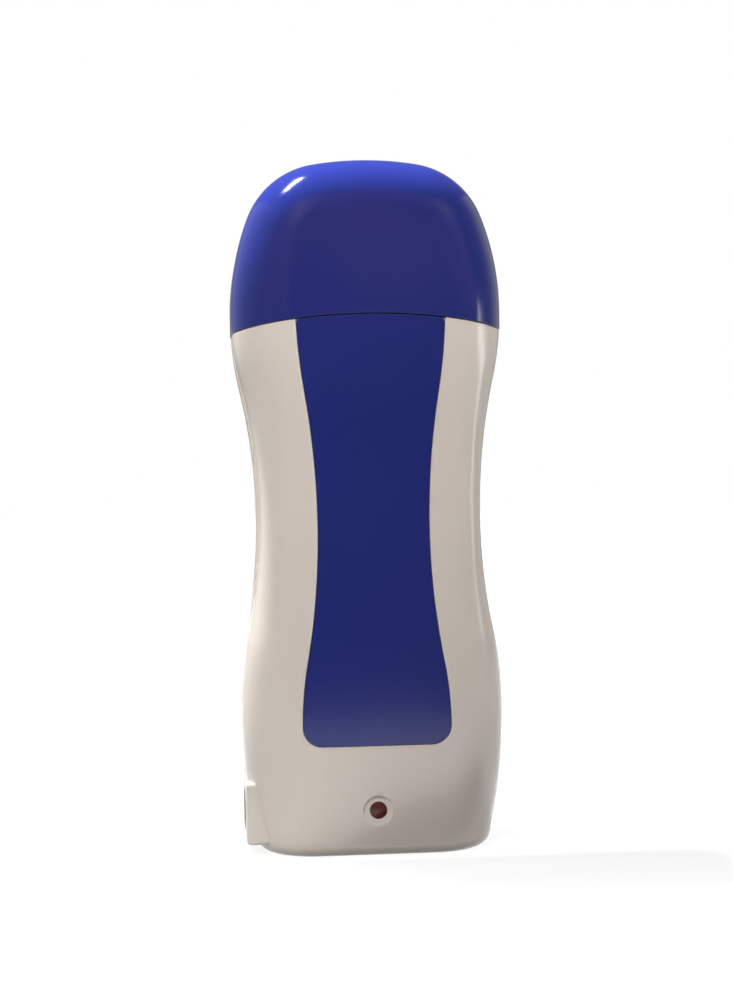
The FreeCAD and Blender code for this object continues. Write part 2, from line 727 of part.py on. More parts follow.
class Crown:
    """The cap's outline above the shoulder: a side arc, a corner arc and the shared top arc."""

    def __init__(self):
        self.top_z = s.overall_height - s.crown_top_radius
        self.side_x = s.shoulder_half_width - s.crown_side_radius
        # The corner arc's centre lies where its distances from the two other centres meet.
        to_top_x, to_top_z = -self.side_x, self.top_z - s.shoulder_height
        from_side = s.crown_side_radius - s.crown_corner_radius
        from_top = s.crown_top_radius - s.crown_corner_radius
        gap = s.work_out("crown_gap", (to_top_x * to_top_x + to_top_z * to_top_z).root(),
                         "between the centres of the side arc and the top arc")
        difference = from_side * from_side - from_top * from_top
        along = s.work_out("crown_along", (difference + gap * gap) / (2 * gap),
                           "from the side arc's centre to the corner's, along that line")
        across = s.work_out("crown_across", (from_side * from_side - along * along).root(),
                            "and square to it")
        offset_x = (to_top_x * along - to_top_z * across) / gap
        offset_z = (to_top_z * along + to_top_x * across) / gap
        self.corner_x = s.work_out("crown_corner_x", self.side_x + offset_x, "centre of the corner arc")
        self.corner_z = s.work_out("crown_corner_z", s.shoulder_height + offset_z,
                                   "centre of the corner arc")
        self.side_end = s.work_out("crown_side_end", (offset_x / from_side).arccosine(),
                                   "angle at the end of the side arc")
        self.corner_end = s.work_out("crown_corner_end", (self.corner_x / from_top).arccosine(),
                                     "angle at the end of the corner arc")

    def points(self, inset, steps):
        """The whole outline, moved in by an inset, with its arcs made up of flats."""
        side_steps, corner_steps, top_steps = steps
        half = s.shoulder_half_width - inset
        right = [(half, s.shoulder_height - CAP_SKIRT)]
        arcs = [(self.side_x, s.shoulder_height, s.crown_side_radius, Size(0, "0 deg"), self.side_end,
                 side_steps),
                (self.corner_x, self.corner_z, s.crown_corner_radius, self.side_end, self.corner_end,
                 corner_steps),
                (ZERO, self.top_z, s.crown_top_radius, self.corner_end, Size(90, "90 deg"), top_steps)]
        for x, z, radius, start, finish, count in arcs:
            for step in range(count):
                angle = start + (finish - start) * (step / count)
                right.append((x + (radius - inset) * angle.cosine(), z + (radius - inset) * angle.sine()))
        left = [(-x, z) for x, z in reversed(right)]
        return right + [(ZERO, s.overall_height - inset)] + left


def cap_form(label, crown, crown_steps, corner_steps, inset=ZERO):
    """The shape of the cap: its outline, carried from face to face with quarter-round edges."""
    body = new_body(label)
    radius = s.edge_radius - inset
    face = s.shoulder_half_depth - inset
    rounds = [(face - radius * (1 - cosine), inset + radius * (1 - sine))
              for sine, cosine in quarter_turn(corner_steps)]
    sections = []
    for y, moved_in in rounds + [(ZERO, inset)]:
        section = new_sketch(body, "XZ_Plane", y)
        polygon(section, crown.points(moved_in, crown_steps))
        sections.append(section)
    half = loft(body, sections)
    mirror(body, half, "XZ_Plane")
    return body


# ---------------------------------------------------------------------------------------------
# Shared cutters and places
# ---------------------------------------------------------------------------------------------

NODES = {}


def node(label, thing):
    """Name a finished sub-part."""
    thing.Label = label
    NODES[label] = thing


def seam_arch(label, radius):
    """Everything below the arched seam."""
    return cylinder(label, (0, -FAR, s.seam_height - s.seam_radius), "y", radius, 2 * FAR)


def half_space(label, front):
    """Everything ahead of or behind the joint plane of the two shells."""
    low, high = (-FAR, ZERO) if front else (ZERO, FAR)
    return box(label, (-FAR, low, -5), (FAR, high, s.overall_height))


def lamp_face_y():
    """The front face of the body at the height of the lamp."""
    return -side_outline().half_at(s.lamp_height)


def screw_places():
    """The four case screws in the front view."""
    upper_z = s.chamber_top_height - s.post_radius
    return [(side * x, z) for x, z in ((s.lower_screw_x, s.lower_screw_z), (s.upper_screw_x, upper_z))
            for side in (-1, 1)]


def board_screw_places():
    """The two screws of the circuit board in the front view."""
    reach = s.board_width / 2 - s.board_screw_inset
    z = s.board_bottom_height + s.board_height - s.board_screw_inset
    return [(s.board_x + side * reach, z) for side in (-1, 1)]


def bottle_half(growth=ZERO):
    """Half the bottle's width and depth, with a wall or a gap added."""
    return s.bottle_width / 2 + growth, s.bottle_depth / 2 + growth


def cartridge_outline(sketch, growth):
    """The cartridge's rounded outline, seen from above, with a wall or a gap added."""
    half_x, half_y = bottle_half(growth)
    rounded_rectangle(sketch, -half_x, half_x, s.chamber_y - half_y, s.chamber_y + half_y,
                      s.bottle_corner_radius + growth)


def inlet_z():
    """The middle height of the power inlet."""
    return (s.inlet_bottom_height + s.inlet_top_height) / 2


PANEL_PEG_HEIGHTS = (s.low_peg_height, s.panel_waist_height, s.high_peg_height)


# ---------------------------------------------------------------------------------------------
# Front shell and inlay panel
# ---------------------------------------------------------------------------------------------

def panel_blank(label, gap=ZERO):
    """The inlay's outline carried forward from the joint plane, grown by a gap."""
    outline = WaistedOutline(
        (ZERO, ZERO), (s.panel_bulge_half_width + gap, s.panel_bottom_height + s.panel_corner_radius),
        s.panel_bulge_radius + gap, (s.panel_waist_half_width + gap, s.panel_waist_height),
        s.panel_waist_radius - gap, (s.panel_top_half_width + gap, s.panel_top_height))
    body = new_body(label)
    sketch = new_sketch(body, "XZ_Plane")
    corner_radius = s.panel_corner_radius + gap
    height = outline.bulge[1].value
    corners, tops = [], []
    for side in (1, -1):
        belly, top = outline.draw_above_bulge(sketch, side)
        reach = side * outline.bulge[0].value
        centre = (reach - side * corner_radius.value, height)
        below = (centre[0], height - corner_radius.value)
        corner = arc(sketch, centre, corner_radius.value, below, (reach, height), side > 0)
        join(sketch, "Tangent", corner, belly)
        constrain(sketch, "Radius", corner[0], size=corner_radius)
        corners.append(corner)
        tops.append(top)
    ends = [sketch.getPoint(corner[0], corner[1]) for corner in corners]
    bottom = sketch.addGeometry(Part.LineSegment(*ends))
    for end, corner in enumerate(corners, start=1):
        sketch.addConstraint(Sketcher.Constraint("Tangent", bottom, end, corner[0], corner[1]))
    lid = sketch.addGeometry(Part.LineSegment(*[sketch.getPoint(top[0], top[2]) for top in tops]))
    for end, top in enumerate(tops, start=1):
        sketch.addConstraint(Sketcher.Constraint("Coincident", lid, end, top[0], top[2]))
    pad(body, sketch, FAR)
    return body


def panel_bed():
    """Everything behind the bed of the inlay, which runs parallel to the front face."""
    front, side = front_outline(), side_outline()
    heights = front.stations(OUTER_SPANS)[1:]
    body = new_body("panel_bed")
    sketch = new_sketch(body, "YZ_Plane")
    face = [(s.panel_depth - side.half_at(height), height) for height in heights]
    polygon(sketch, [(FAR, face[0][1])] + face + [(FAR, face[-1][1])])
    pad(body, sketch, FAR, symmetric=True)
    return body


def pegs(label, radius):
    """The pegs that hold the inlay in the front shell."""
    rods = []
    for index, height in enumerate(PANEL_PEG_HEIGHTS):
        face = side_outline().half_at(height)
        start = s.panel_depth / 2 - face
        length = s.shell_wall + s.peg_reach - s.panel_depth / 2
        rods.append(cylinder(f"{label}_{index}", (0, start, height), "y", radius, length))
    return fuse(label, *rods)


def front_shell_and_panel(form, cavity):
    """The front half of the housing, and the blue inlay in its bed."""
    bed = panel_bed()
    shape = common("front_blank", form, half_space("front_side", True),
                   seam_arch("front_seam", s.seam_radius - s.seam_gap))
    skin = cut("front_skin", shape, cavity)
    inside = []
    for index, (x, z) in enumerate(screw_places()):
        inside.append(cylinder(f"front_post_{index}", (x, -FAR, z), "y", s.post_radius, FAR))
    for index, (x, z) in enumerate(board_screw_places()):
        post = cylinder(f"board_post_{index}", (x, -FAR, z), "y", s.board_post_radius, FAR - s.board_y)
        inside.append(post)
    chamber_front = s.chamber_y - bottle_half(s.cartridge_gap + s.chamber_wall)[1]
    for side in (-1, 1):
        middle = side * s.rib_x
        inside.append(box(f"front_rib_{side + 1}",
                          (middle - s.rib_thickness / 2, -FAR, s.stack_bottom_height),
                          (middle + s.rib_thickness / 2, chamber_front - s.seat_gap, s.stack_top_height)))
    built_up = fuse("front_built", skin, common("front_inside", fuse("front_fittings", *inside), shape))

    face = lamp_face_y()
    holes = [
        cut("panel_recess", panel_blank("recess_blank", s.panel_gap), bed),
        pegs("peg_holes", s.peg_radius + s.fit_gap),
        cylinder("lens_hole", (0, -FAR, s.lamp_height), "y", s.lens_radius + s.fit_gap, FAR - s.board_y),
        cylinder("lens_dish", (0, face - 5, s.lamp_height), "y", s.dish_radius, 5 + s.dish_depth),
        cylinder("lens_seat", (0, face + s.shell_wall, s.lamp_height), "y",
                 s.lens_flange_radius + s.fit_gap, -face - s.shell_wall - s.board_y),
        inlet_block("front_inlet_hole", s.fit_gap),
    ]
    for index, (x, z) in enumerate(screw_places()):
        holes.append(cylinder(f"pilot_{index}", (x, -s.screw_reach - 1, z), "y",
                              s.screw_radius + s.fit_gap, s.screw_reach + 1))
    for index, (x, z) in enumerate(board_screw_places()):
        holes.append(cylinder(f"board_pilot_{index}", (x, -s.board_y - s.board_pilot_depth, z), "y",
                              s.board_screw_radius + s.fit_gap, s.board_pilot_depth))
    node("front_shell", cut("front_shell", built_up, fuse("front_holes", *holes)))

    inlay = common("inlay_sheet", cut("inlay_slab", panel_blank("inlay_blank"), bed), shape)
    node("front_panel", fuse("front_panel", inlay, pegs("inlay_pegs", s.peg_radius)))


# ---------------------------------------------------------------------------------------------
# Rear shell, screws and neck
# ---------------------------------------------------------------------------------------------

def rear_shell(form, cavity):
    """The rear half of the housing, with sunk sleeves for the case screws."""
    shape = common("rear_blank", form, half_space("rear_side", False),
                   seam_arch("rear_seam", s.seam_radius - s.seam_gap))
    skin = cut("rear_skin", shape, cavity)
    sleeves, holes = [], [inlet_block("rear_inlet_hole", s.fit_gap)]
    for index, (x, z) in enumerate(screw_places()):
        sleeves.append(cylinder(f"sleeve_{index}", (x, ZERO, z), "y", s.post_radius, FAR))
        holes.append(cylinder(f"screw_hole_{index}", (x, -1, z), "y", s.screw_hole_radius, FAR))
        holes.append(cylinder(f"screw_well_{index}", (x, s.screw_seat_depth, z), "y",
                              s.screw_well_radius, FAR))
    inside = common("rear_inside", fuse("rear_sleeves", *sleeves), shape)
    built_up = fuse("rear_built", skin, inside)
    node("rear_shell", cut("rear_shell", built_up, fuse("rear_holes", *holes)))


def screw(label, seat, thread_radius, reach, head_radius, head_height):
    """A screw along y: its head lies behind the seat and its thread runs forward from it."""
    x, y, z = seat
    thread = prism(label + "_thread", (x, y - reach, z), "y", thread_radius, reach + head_height / 2)
    head = prism(label + "_head", (x, y, z), "y", head_radius, head_height, 12)
    return fuse(label, thread, head)


def case_screws():
    """The four screws that pull the shells together."""
    places = [(x, s.screw_seat_depth, z) for x, z in screw_places()]
    screws = [screw(f"case_screw_{index}", place, s.screw_radius, s.screw_seat_depth + s.screw_reach,
                    s.screw_head_radius, s.screw_head_height) for index, place in enumerate(places)]
    node("case_screws", group("case_screws", screws))


def neck_collar():
    """The plate over the chamber's mouth, with the rim that the cap is pushed over."""
    body = new_body("neck_collar")
    half_x = s.shoulder_half_width - s.neck_inset_x
    half_y = s.shoulder_half_depth - s.neck_inset_y
    radius = s.edge_radius - s.neck_inset_y
    plate = new_sketch(body, "XY_Plane", s.chamber_top_height)
    rounded_rectangle(plate, -half_x, half_x, -half_y, half_y, radius)
    pad(body, plate, s.neck_top_height - s.chamber_top_height)
    tray = new_sketch(body, "XY_Plane", s.neck_top_height)
    rim = s.neck_wall
    rounded_rectangle(tray, rim - half_x, half_x - rim, rim - half_y, half_y - rim, radius - rim)
    pocket(body, tray, s.neck_top_height - s.chamber_top_height - s.neck_plate)
    mouth = new_sketch(body, "XY_Plane", s.neck_top_height)
    cartridge_outline(mouth, s.cartridge_gap)
    pocket(body, mouth)
    node("neck_collar", body)


# ---------------------------------------------------------------------------------------------
# Heating chamber and the heater on its back
# ---------------------------------------------------------------------------------------------

def chamber_half(label, front):
    """One half of the pocket that the cartridge stands in."""
    body = new_body(label)
    outside = new_sketch(body, "XY_Plane", s.chamber_floor_height)
    cartridge_outline(outside, s.cartridge_gap + s.chamber_wall)
    pad(body, outside, s.chamber_top_height - s.chamber_floor_height)
    inside = new_sketch(body, "XY_Plane", s.chamber_top_height)
    cartridge_outline(inside, s.cartridge_gap)
    pocket(body, inside, s.chamber_top_height - s.chamber_floor_height - s.chamber_wall)
    other_half = new_sketch(body, "XY_Plane", s.chamber_top_height)
    low, high = (s.chamber_y, FAR) if front else (-FAR, s.chamber_y)
    rectangle(other_half, -FAR, FAR, low, high)
    pocket(body, other_half)
    node(label, body)


def clamp_feet():
    """The heights of the clamp's two screws."""
    low, high = clamp_ends()
    return low + s.clamp_foot / 2, high - s.clamp_foot / 2


def clamp_ends():
    """The heights of the clamp's two ends."""
    beyond = s.sheet_margin + s.sheet_thickness + s.clamp_thickness + s.clamp_foot
    low = s.element_bottom_height - beyond
    return low, s.element_bottom_height + s.element_height + beyond


def heater_stack():
    """The aluminium plate, the element on it, and what presses and guards it."""
    y = s.chamber_back_y
    plate_back = y + s.plate_thickness
    plate = box("plate_blank", (-s.plate_width / 2, y, s.stack_bottom_height),
                (s.plate_width / 2, plate_back, s.stack_top_height))
    holes = [cylinder(f"plate_hole_{index}", (0, y, z), "y", s.clamp_screw_radius + s.fit_gap,
                      s.plate_thickness) for index, z in enumerate(clamp_feet())]
    node("heater_plate", cut("heater_plate", plate, fuse("plate_holes", *holes)))

    half, low = s.element_width / 2, s.element_bottom_height
    high, element_back = low + s.element_height, plate_back + s.element_thickness
    node("heating_element", box("heating_element", (-half, plate_back, low), (half, element_back, high)))
    sheet_back, margin = element_back + s.sheet_thickness, s.sheet_margin
    node("insulating_sheet", box("insulating_sheet", (-half - margin, element_back, low - margin),
                                 (half + margin, sheet_back, high + margin)))
    clamp(plate_back, sheet_back)
    screws = [screw(f"clamp_screw_{index}", (ZERO, plate_back + s.clamp_thickness, z),
                    s.clamp_screw_radius, s.clamp_thickness + s.plate_thickness,
                    s.clamp_head_radius, s.clamp_head_height) for index, z in enumerate(clamp_feet())]
    node("clamp_screws", group("clamp_screws", screws))

    top = s.stack_top_height - s.thermostat_margin
    node("thermostat", box(
        "thermostat", (-s.thermostat_width / 2, plate_back, top - s.thermostat_height),
        (s.thermostat_width / 2, plate_back + s.thermostat_depth, top)))
    fuse_x = s.element_width / 2 + s.sheet_margin + s.fuse_radius + s.fit_gap
    node("thermal_fuse", prism("thermal_fuse", (fuse_x, plate_back + s.fuse_radius, s.fuse_height), "z",
                               s.fuse_radius, s.fuse_length, 12))


def clamp(plate_back, sheet_back):
    """The spring clamp: a strip bent like a hat over the element, seen from the side."""
    low, high = clamp_ends()
    foot, thick = s.clamp_foot, s.clamp_thickness
    body = new_body("element_clamp")
    profile = new_sketch(body, "YZ_Plane")
    polygon(profile, [
        (plate_back, low), (plate_back, low + foot + thick), (sheet_back, low + foot + thick),
        (sheet_back, high - foot - thick), (plate_back, high - foot - thick), (plate_back, high),
        (plate_back + thick, high), (plate_back + thick, high - foot), (sheet_back + thick, high - foot),
        (sheet_back + thick, low + foot), (plate_back + thick, low + foot), (plate_back + thick, low)])
    pad(body, profile, s.clamp_width, symmetric=True)
    drill = new_sketch(body, "XZ_Plane")
    for z in clamp_feet():
        circle(drill, 0, z, s.clamp_screw_radius + s.fit_gap)
    pocket(body, drill, symmetric=True)
    node("element_clamp", body)


# ---------------------------------------------------------------------------------------------
# Indicator lamp and circuit board
# ---------------------------------------------------------------------------------------------

def lamp_lens():
    """The red lens: a rod with a bevelled tip, and a flange behind the shell's wall."""
    face, inner = lamp_face_y(), lamp_face_y() + s.shell_wall
    edge = face + s.dish_depth - s.fit_gap
    tip, tip_radius = edge - s.lens_proud, s.lens_radius - s.lens_proud
    back = inner + s.lens_flange_thickness
    body = new_body("lamp_lens")
    profile = new_sketch(body, "YZ_Plane")
    polygon(profile, [(tip, ZERO), (tip, tip_radius), (edge, s.lens_radius), (inner, s.lens_radius),
                      (inner, s.lens_flange_radius), (back, s.lens_flange_radius), (back, ZERO)])
    revolve(body, profile, "H_Axis")
    bind(body, "Placement.Base.z", s.lamp_height)
    node("lamp_lens", body)


def board():
    """The circuit board on its two posts, with its resistors and the lamp behind the lens."""
    front = -s.board_y
    back = front + s.board_thickness
    left, low = s.board_x - s.board_width / 2, s.board_bottom_height
    blank = box("board_blank", (left, front, low), (left + s.board_width, back, low + s.board_height))
    holes = [cylinder(f"board_hole_{index}", (x, front, z), "y", s.board_screw_radius + s.fit_gap,
                      s.board_thickness) for index, (x, z) in enumerate(board_screw_places())]
    node("circuit_board", cut("circuit_board", blank, fuse("board_holes", *holes)))
    screws = [screw(f"board_screw_{index}", (x, back, z), s.board_screw_radius,
                    s.board_thickness + s.board_pilot_depth - 1, s.board_head_radius,
                    s.board_head_height) for index, (x, z) in enumerate(board_screw_places())]
    node("board_screws", group("board_screws", screws))
    start = s.board_x - s.resistor_length / 2
    resistors = [prism(f"resistor_{index}", (start, back + s.resistor_radius, low + offset), "x",
                       s.resistor_radius, s.resistor_length) for index, offset in enumerate((3, 7))]
    node("resistors", group("resistors", resistors))

    bulb_front = lamp_face_y() + s.shell_wall + s.lens_flange_thickness + s.seat_gap
    bulb_back = bulb_front + s.lamp_length
    bulb = prism("lamp_bulb", (0, bulb_front, s.lamp_height), "y", s.lamp_radius, s.lamp_length, 12)
    legs = [prism(f"lamp_leg_{side + 1}", (side * s.lamp_leg_spacing / 2, bulb_back - 1, s.lamp_height),
                  "y", s.lamp_leg_radius, front - bulb_back + 1, 4) for side in (-1, 1)]
    node("indicator_lamp", fuse("indicator_lamp", bulb, *legs))


# ---------------------------------------------------------------------------------------------
# Power inlet
# ---------------------------------------------------------------------------------------------

def inlet_block(label, gap=ZERO):
    """The square block low on the left side, grown by a gap."""
    low = (-s.inlet_face_x - gap, -s.inlet_half_depth - gap, s.inlet_bottom_height - gap)
    high = (s.inlet_reach - s.inlet_face_x + gap, s.inlet_half_depth + gap, s.inlet_top_height + gap)
    return box(label, low, high)


def socket_outline(sketch, growth):
    """The mouth of the socket in the side view, grown by a wall or a gap."""
    half_y, half_z = s.socket_width / 2 + growth, s.socket_height / 2 + growth
    rounded_rectangle(sketch, -half_y, half_y, inlet_z() - half_z, inlet_z() + half_z,
                      s.socket_corner + growth)


def inlet_housing():
    """The hollow block that carries the socket through the side of the housing."""
    body = new_body("inlet_housing")
    outline = new_sketch(body, "YZ_Plane", -s.inlet_face_x)
    half, low, high = s.inlet_half_depth, s.inlet_bottom_height, s.inlet_top_height
    rectangle(outline, -half, half, low, high)
    pad(body, outline, s.inlet_reach)
    wall = s.inlet_wall
    hollow = new_sketch(body, "YZ_Plane", s.inlet_reach - s.inlet_face_x)
    rectangle(hollow, wall - half, half - wall, low + wall, high - wall)
    pocket(body, hollow, s.inlet_reach - wall)
    mouth = new_sketch(body, "YZ_Plane", -s.inlet_face_x)
    socket_outline(mouth, s.socket_wall + s.fit_gap)
    pocket(body, mouth, wall, flip=True)
    node("inlet_housing", body)


def inlet_socket():
    """The dark insert with its two contact pins."""
    body = new_body("inlet_socket")
    face = -s.inlet_face_x + s.fit_gap
    outline = new_sketch(body, "YZ_Plane", face)
    socket_outline(outline, s.socket_wall)
    pad(body, outline, s.socket_depth + s.socket_wall)
    recess = new_sketch(body, "YZ_Plane", face)
    socket_outline(recess, ZERO)
    pocket(body, recess, s.socket_depth, flip=True)
    drill = new_sketch(body, "YZ_Plane", face)
    for side in (-1, 1):
        circle(drill, side * s.pin_spacing / 2, inlet_z(), s.pin_radius + s.fit_gap)
    pocket(body, drill, flip=True)
    node("inlet_socket", body)
    start = s.pin_setback - s.inlet_face_x
    pins = [cylinder(f"inlet_pin_{side + 1}", (start, side * s.pin_spacing / 2, inlet_z()), "x",
                     s.pin_radius, s.pin_length) for side in (-1, 1)]
    node("inlet_pins", group("inlet_pins", pins))


# ---------------------------------------------------------------------------------------------
# Leads inside the housing
# ---------------------------------------------------------------------------------------------

MITRED = 1  # the kind of bend that a pipe along a polygon has
LEAD_SIDES = 8  # flats round a lead


def lead(label, points):
    """A lead along straight runs with mitred bends."""
    corners = [Vector(*[Size.of(v).value for v in point]) for point in points]
    path = Part.makePolygon(corners)
    outline = Part.Circle(corners[0], corners[1] - corners[0], s.lead_radius.value)
    ring = [outline.value(2 * math.pi * step / LEAD_SIDES) for step in range(LEAD_SIDES)]
    solid = doc.addObject("Part::Feature", label)
    solid.Shape = path.makePipeShell([Part.makePolygon(ring + ring[:1])], True, False, MITRED)
    return solid


def leads():
    """The leads from the inlet to the board, and from the board to the heating element."""
    board_back = s.board_thickness - s.board_y
    pin_end = s.pin_setback - s.inlet_face_x + s.pin_length
    supply = []
    for side in (-1, 1):
        y = side * s.pin_spacing / 2
        z = inlet_z() + side * 2
        supply.append(lead(f"inlet_lead_{side + 1}", [
            (pin_end, y, inlet_z()), (pin_end + 6, y, inlet_z()), (pin_end + 12, y - 2, z),
            (pin_end + 13, board_back + 3, z), (pin_end + 13, board_back, z)]))
    node("inlet_leads", group("inlet_leads", supply))

    rise = s.board_bottom_height + s.board_height - s.board_screw_inset
    element_y = s.chamber_back_y + s.plate_thickness + s.element_thickness / 2
    heater = []
    for side in (-1, 1):
        x = s.board_x + side * 5
        end_x = side * (s.element_width / 2 - 1.6)
        heater.append(lead(f"heater_lead_{side + 1}", [
            (x, board_back, rise), (x, board_back + 7, rise), (side * 18, 8, rise + 11),
            (side * 19, element_y - 1, s.chamber_floor_height - 4),
            (side * 13, element_y, s.element_bottom_height - 9),
            (end_x, element_y, s.element_bottom_height - 4),
            (end_x, element_y, s.element_bottom_height)]))
    node("heater_leads", group("heater_leads", heater))


# ---------------------------------------------------------------------------------------------
# Wax cartridge
# ---------------------------------------------------------------------------------------------

def bottle():
    """The cartridge's bottle and the wax in it."""
    foot = s.chamber_floor_height + s.chamber_wall + s.bottle_rest_gap
    body = new_body("wax_bottle")
    outline = new_sketch(body, "XY_Plane", foot)
    cartridge_outline(outline, ZERO)
    pad(body, outline, s.bottle_top_height - foot)
    hollow = new_sketch(body, "XY_Plane", s.bottle_top_height)
    cartridge_outline(hollow, -s.bottle_wall)
    pocket(body, hollow, s.bottle_top_height - foot - s.bottle_wall)
    node("wax_bottle", body)

    wax = new_body("wax_fill")
    level = new_sketch(wax, "XY_Plane", foot + s.bottle_wall)
    cartridge_outline(level, -s.bottle_wall)
    pad(wax, level, s.wax_height - foot - s.bottle_wall)
    node("wax_fill", wax)


def applicator_head():
    """The head of the cartridge: a plugged base, a cradle for the roller, and two ears."""
    base_top = s.bottle_top_height + s.head_height
    body = new_body("head_base")
    plug = new_sketch(body, "XY_Plane", s.bottle_top_height - s.plug_depth)
    cartridge_outline(plug, -s.bottle_wall - s.fit_gap)
    pad(body, plug, s.plug_depth)
    flange = new_sketch(body, "XY_Plane", s.bottle_top_height)
    cartridge_outline(flange, -s.head_inset)
    pad(body, flange, s.head_height)

    y, z = s.chamber_y, s.roller_height
    inner = s.roller_length / 2 + s.roller_end_gap
    outer = inner + s.ear_thickness
    depth = s.cradle_half_depth
    cradle = box("head_cradle", (-outer, y - depth, base_top - 1), (outer, y + depth, s.cradle_height))
    ears = []
    for side in (-1, 1):
        start = -outer if side < 0 else inner
        ears.append(cylinder(f"ear_round_{side + 1}", (start, y, z), "x", s.ear_radius, s.ear_thickness))
        ears.append(box(f"ear_neck_{side + 1}", (start, y - s.ear_radius, s.cradle_height - 1),
                        (start + s.ear_thickness, y + s.ear_radius, z)))
    solid = fuse("head_solid", body, cradle, *ears)
    hollows = [
        cylinder("head_trough", (-inner, y, z), "x", s.roller_radius + s.roller_gap, 2 * inner),
        cylinder("head_axle_hole", (-outer, y, z), "x", s.axle_radius + s.fit_gap, 2 * outer),
        box("head_channel",
            (-s.channel_half_width, y - s.channel_half_depth, s.bottle_top_height - s.plug_depth),
            (s.channel_half_width, y + s.channel_half_depth, z)),
    ]
    node("applicator_head", cut("applicator_head", solid, fuse("head_hollows", *hollows)))
    node("roller_axle", cylinder("roller_axle", (-outer, y, z), "x", s.axle_radius, 2 * outer))


def roller():
    """The roller, turned about its own axis, with a bore for the axle."""
    body = new_body("roller")
    profile = new_sketch(body, "XZ_Plane")
    half = s.roller_length / 2
    rectangle(profile, -half, half, s.axle_radius + s.axle_running_gap, s.roller_radius)
    revolve(body, profile, "H_Axis")
    bind(body, "Placement.Base.y", s.chamber_y)
    bind(body, "Placement.Base.z", s.roller_height)
    node("roller", body)


# ---------------------------------------------------------------------------------------------
# Cap
# ---------------------------------------------------------------------------------------------

def cap():
    """The lift-off cap."""
    crown = Crown()
    outer = cap_form("cap_outer_form", crown, OUTER_CROWN_STEPS, OUTER_CORNER_STEPS)
    inner = cap_form("cap_inner_form", crown, INNER_CROWN_STEPS, INNER_CORNER_STEPS, s.cap_wall)
    node("cap", cut("cap", outer, fuse("cap_inside", inner, seam_arch("cap_seam", s.seam_radius))))


# ---------------------------------------------------------------------------------------------
# Build, check and write
# ---------------------------------------------------------------------------------------------

def build():
    """Make every sub-part."""
    cavity = body_form("cavity", INNER_SPANS, INNER_CORNER_STEPS, inset=s.shell_wall)
    front_form = body_form("front_form", OUTER_SPANS, OUTER_CORNER_STEPS,
                           base_radius=s.base_edge_radius)
    rear_form = body_form("rear_form", OUTER_SPANS, OUTER_CORNER_STEPS, s.rear_waist_extra,
                          base_radius=s.base_edge_radius)
    front_shell_and_panel(front_form, cavity)
    rear_shell(rear_form, cavity)
    case_screws()
    neck_collar()
    chamber_half("chamber_front", True)
    chamber_half("chamber_rear", False)
    heater_stack()
    lamp_lens()
    board()
    inlet_housing()
    inlet_socket()
    leads()
    bottle()
    applicator_head()
    roller()
    cap()
    doc.recompute()


def check():
    """Stop if any object failed, or any sub-part isn't a valid shape."""
    for thing in doc.Objects:
        if "Invalid" in thing.State or "Error" in thing.State:
            raise ValueError(f"{thing.Label}: {thing.State}")
    for label, thing in NODES.items():
        shape = thing.Shape
        if shape.isNull() or not shape.isValid() or not shape.Solids:
            raise ValueError(f"{label} isn't a valid solid")


def write():
    """Write each sub-part to its own STEP file."""
    os.makedirs("parts", exist_ok=True)
    for label, thing in NODES.items():
        thing.Shape.exportStep(f"parts/{label}.step")
        solids = thing.Shape.Solids
        print(f"{label}: {len(solids)} solid(s), {thing.Shape.Volume / 1000:.2f} cm3")


build()
check()
write()
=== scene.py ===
"""Looks of the roll-on wax heater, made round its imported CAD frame.

Sizes are in millimetres in the frame's axes: +X to the right, -Y towards the viewer of the
front and +Z up. Every mesh is turned into metres when it is made.
"""

import json
import math

import bmesh
import bpy
import numpy as np
from mathutils import Matrix, Vector

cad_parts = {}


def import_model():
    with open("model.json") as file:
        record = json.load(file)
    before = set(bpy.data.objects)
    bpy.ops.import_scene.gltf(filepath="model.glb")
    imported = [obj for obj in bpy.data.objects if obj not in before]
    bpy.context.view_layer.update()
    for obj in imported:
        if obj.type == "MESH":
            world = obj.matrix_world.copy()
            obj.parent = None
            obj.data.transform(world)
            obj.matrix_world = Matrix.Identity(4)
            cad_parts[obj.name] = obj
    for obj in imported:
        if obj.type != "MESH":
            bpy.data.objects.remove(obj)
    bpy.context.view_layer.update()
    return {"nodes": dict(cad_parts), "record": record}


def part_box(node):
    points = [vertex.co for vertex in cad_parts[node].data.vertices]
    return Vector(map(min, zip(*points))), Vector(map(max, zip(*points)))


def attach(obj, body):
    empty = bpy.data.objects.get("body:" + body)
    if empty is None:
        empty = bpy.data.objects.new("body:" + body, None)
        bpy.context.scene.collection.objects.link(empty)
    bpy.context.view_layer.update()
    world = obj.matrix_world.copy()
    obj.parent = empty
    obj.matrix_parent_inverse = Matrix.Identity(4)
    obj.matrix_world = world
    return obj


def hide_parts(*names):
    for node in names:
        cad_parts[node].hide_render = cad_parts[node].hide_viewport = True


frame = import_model()
MM = 0.001


def node_box(name):
    """A CAD node's lowest and highest corners, in millimetres."""
    low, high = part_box(name)
    return np.array(low) / MM, np.array(high) / MM


def node_section(name):
    """A CAD node's lowest and highest level, its half width and depth, and its middle in y."""
    low, high = node_box(name)
    return low[2], high[2], high[0], (high[1] - low[1]) / 2, (high[1] + low[1]) / 2


# ---------- Sizes of the housing ----------

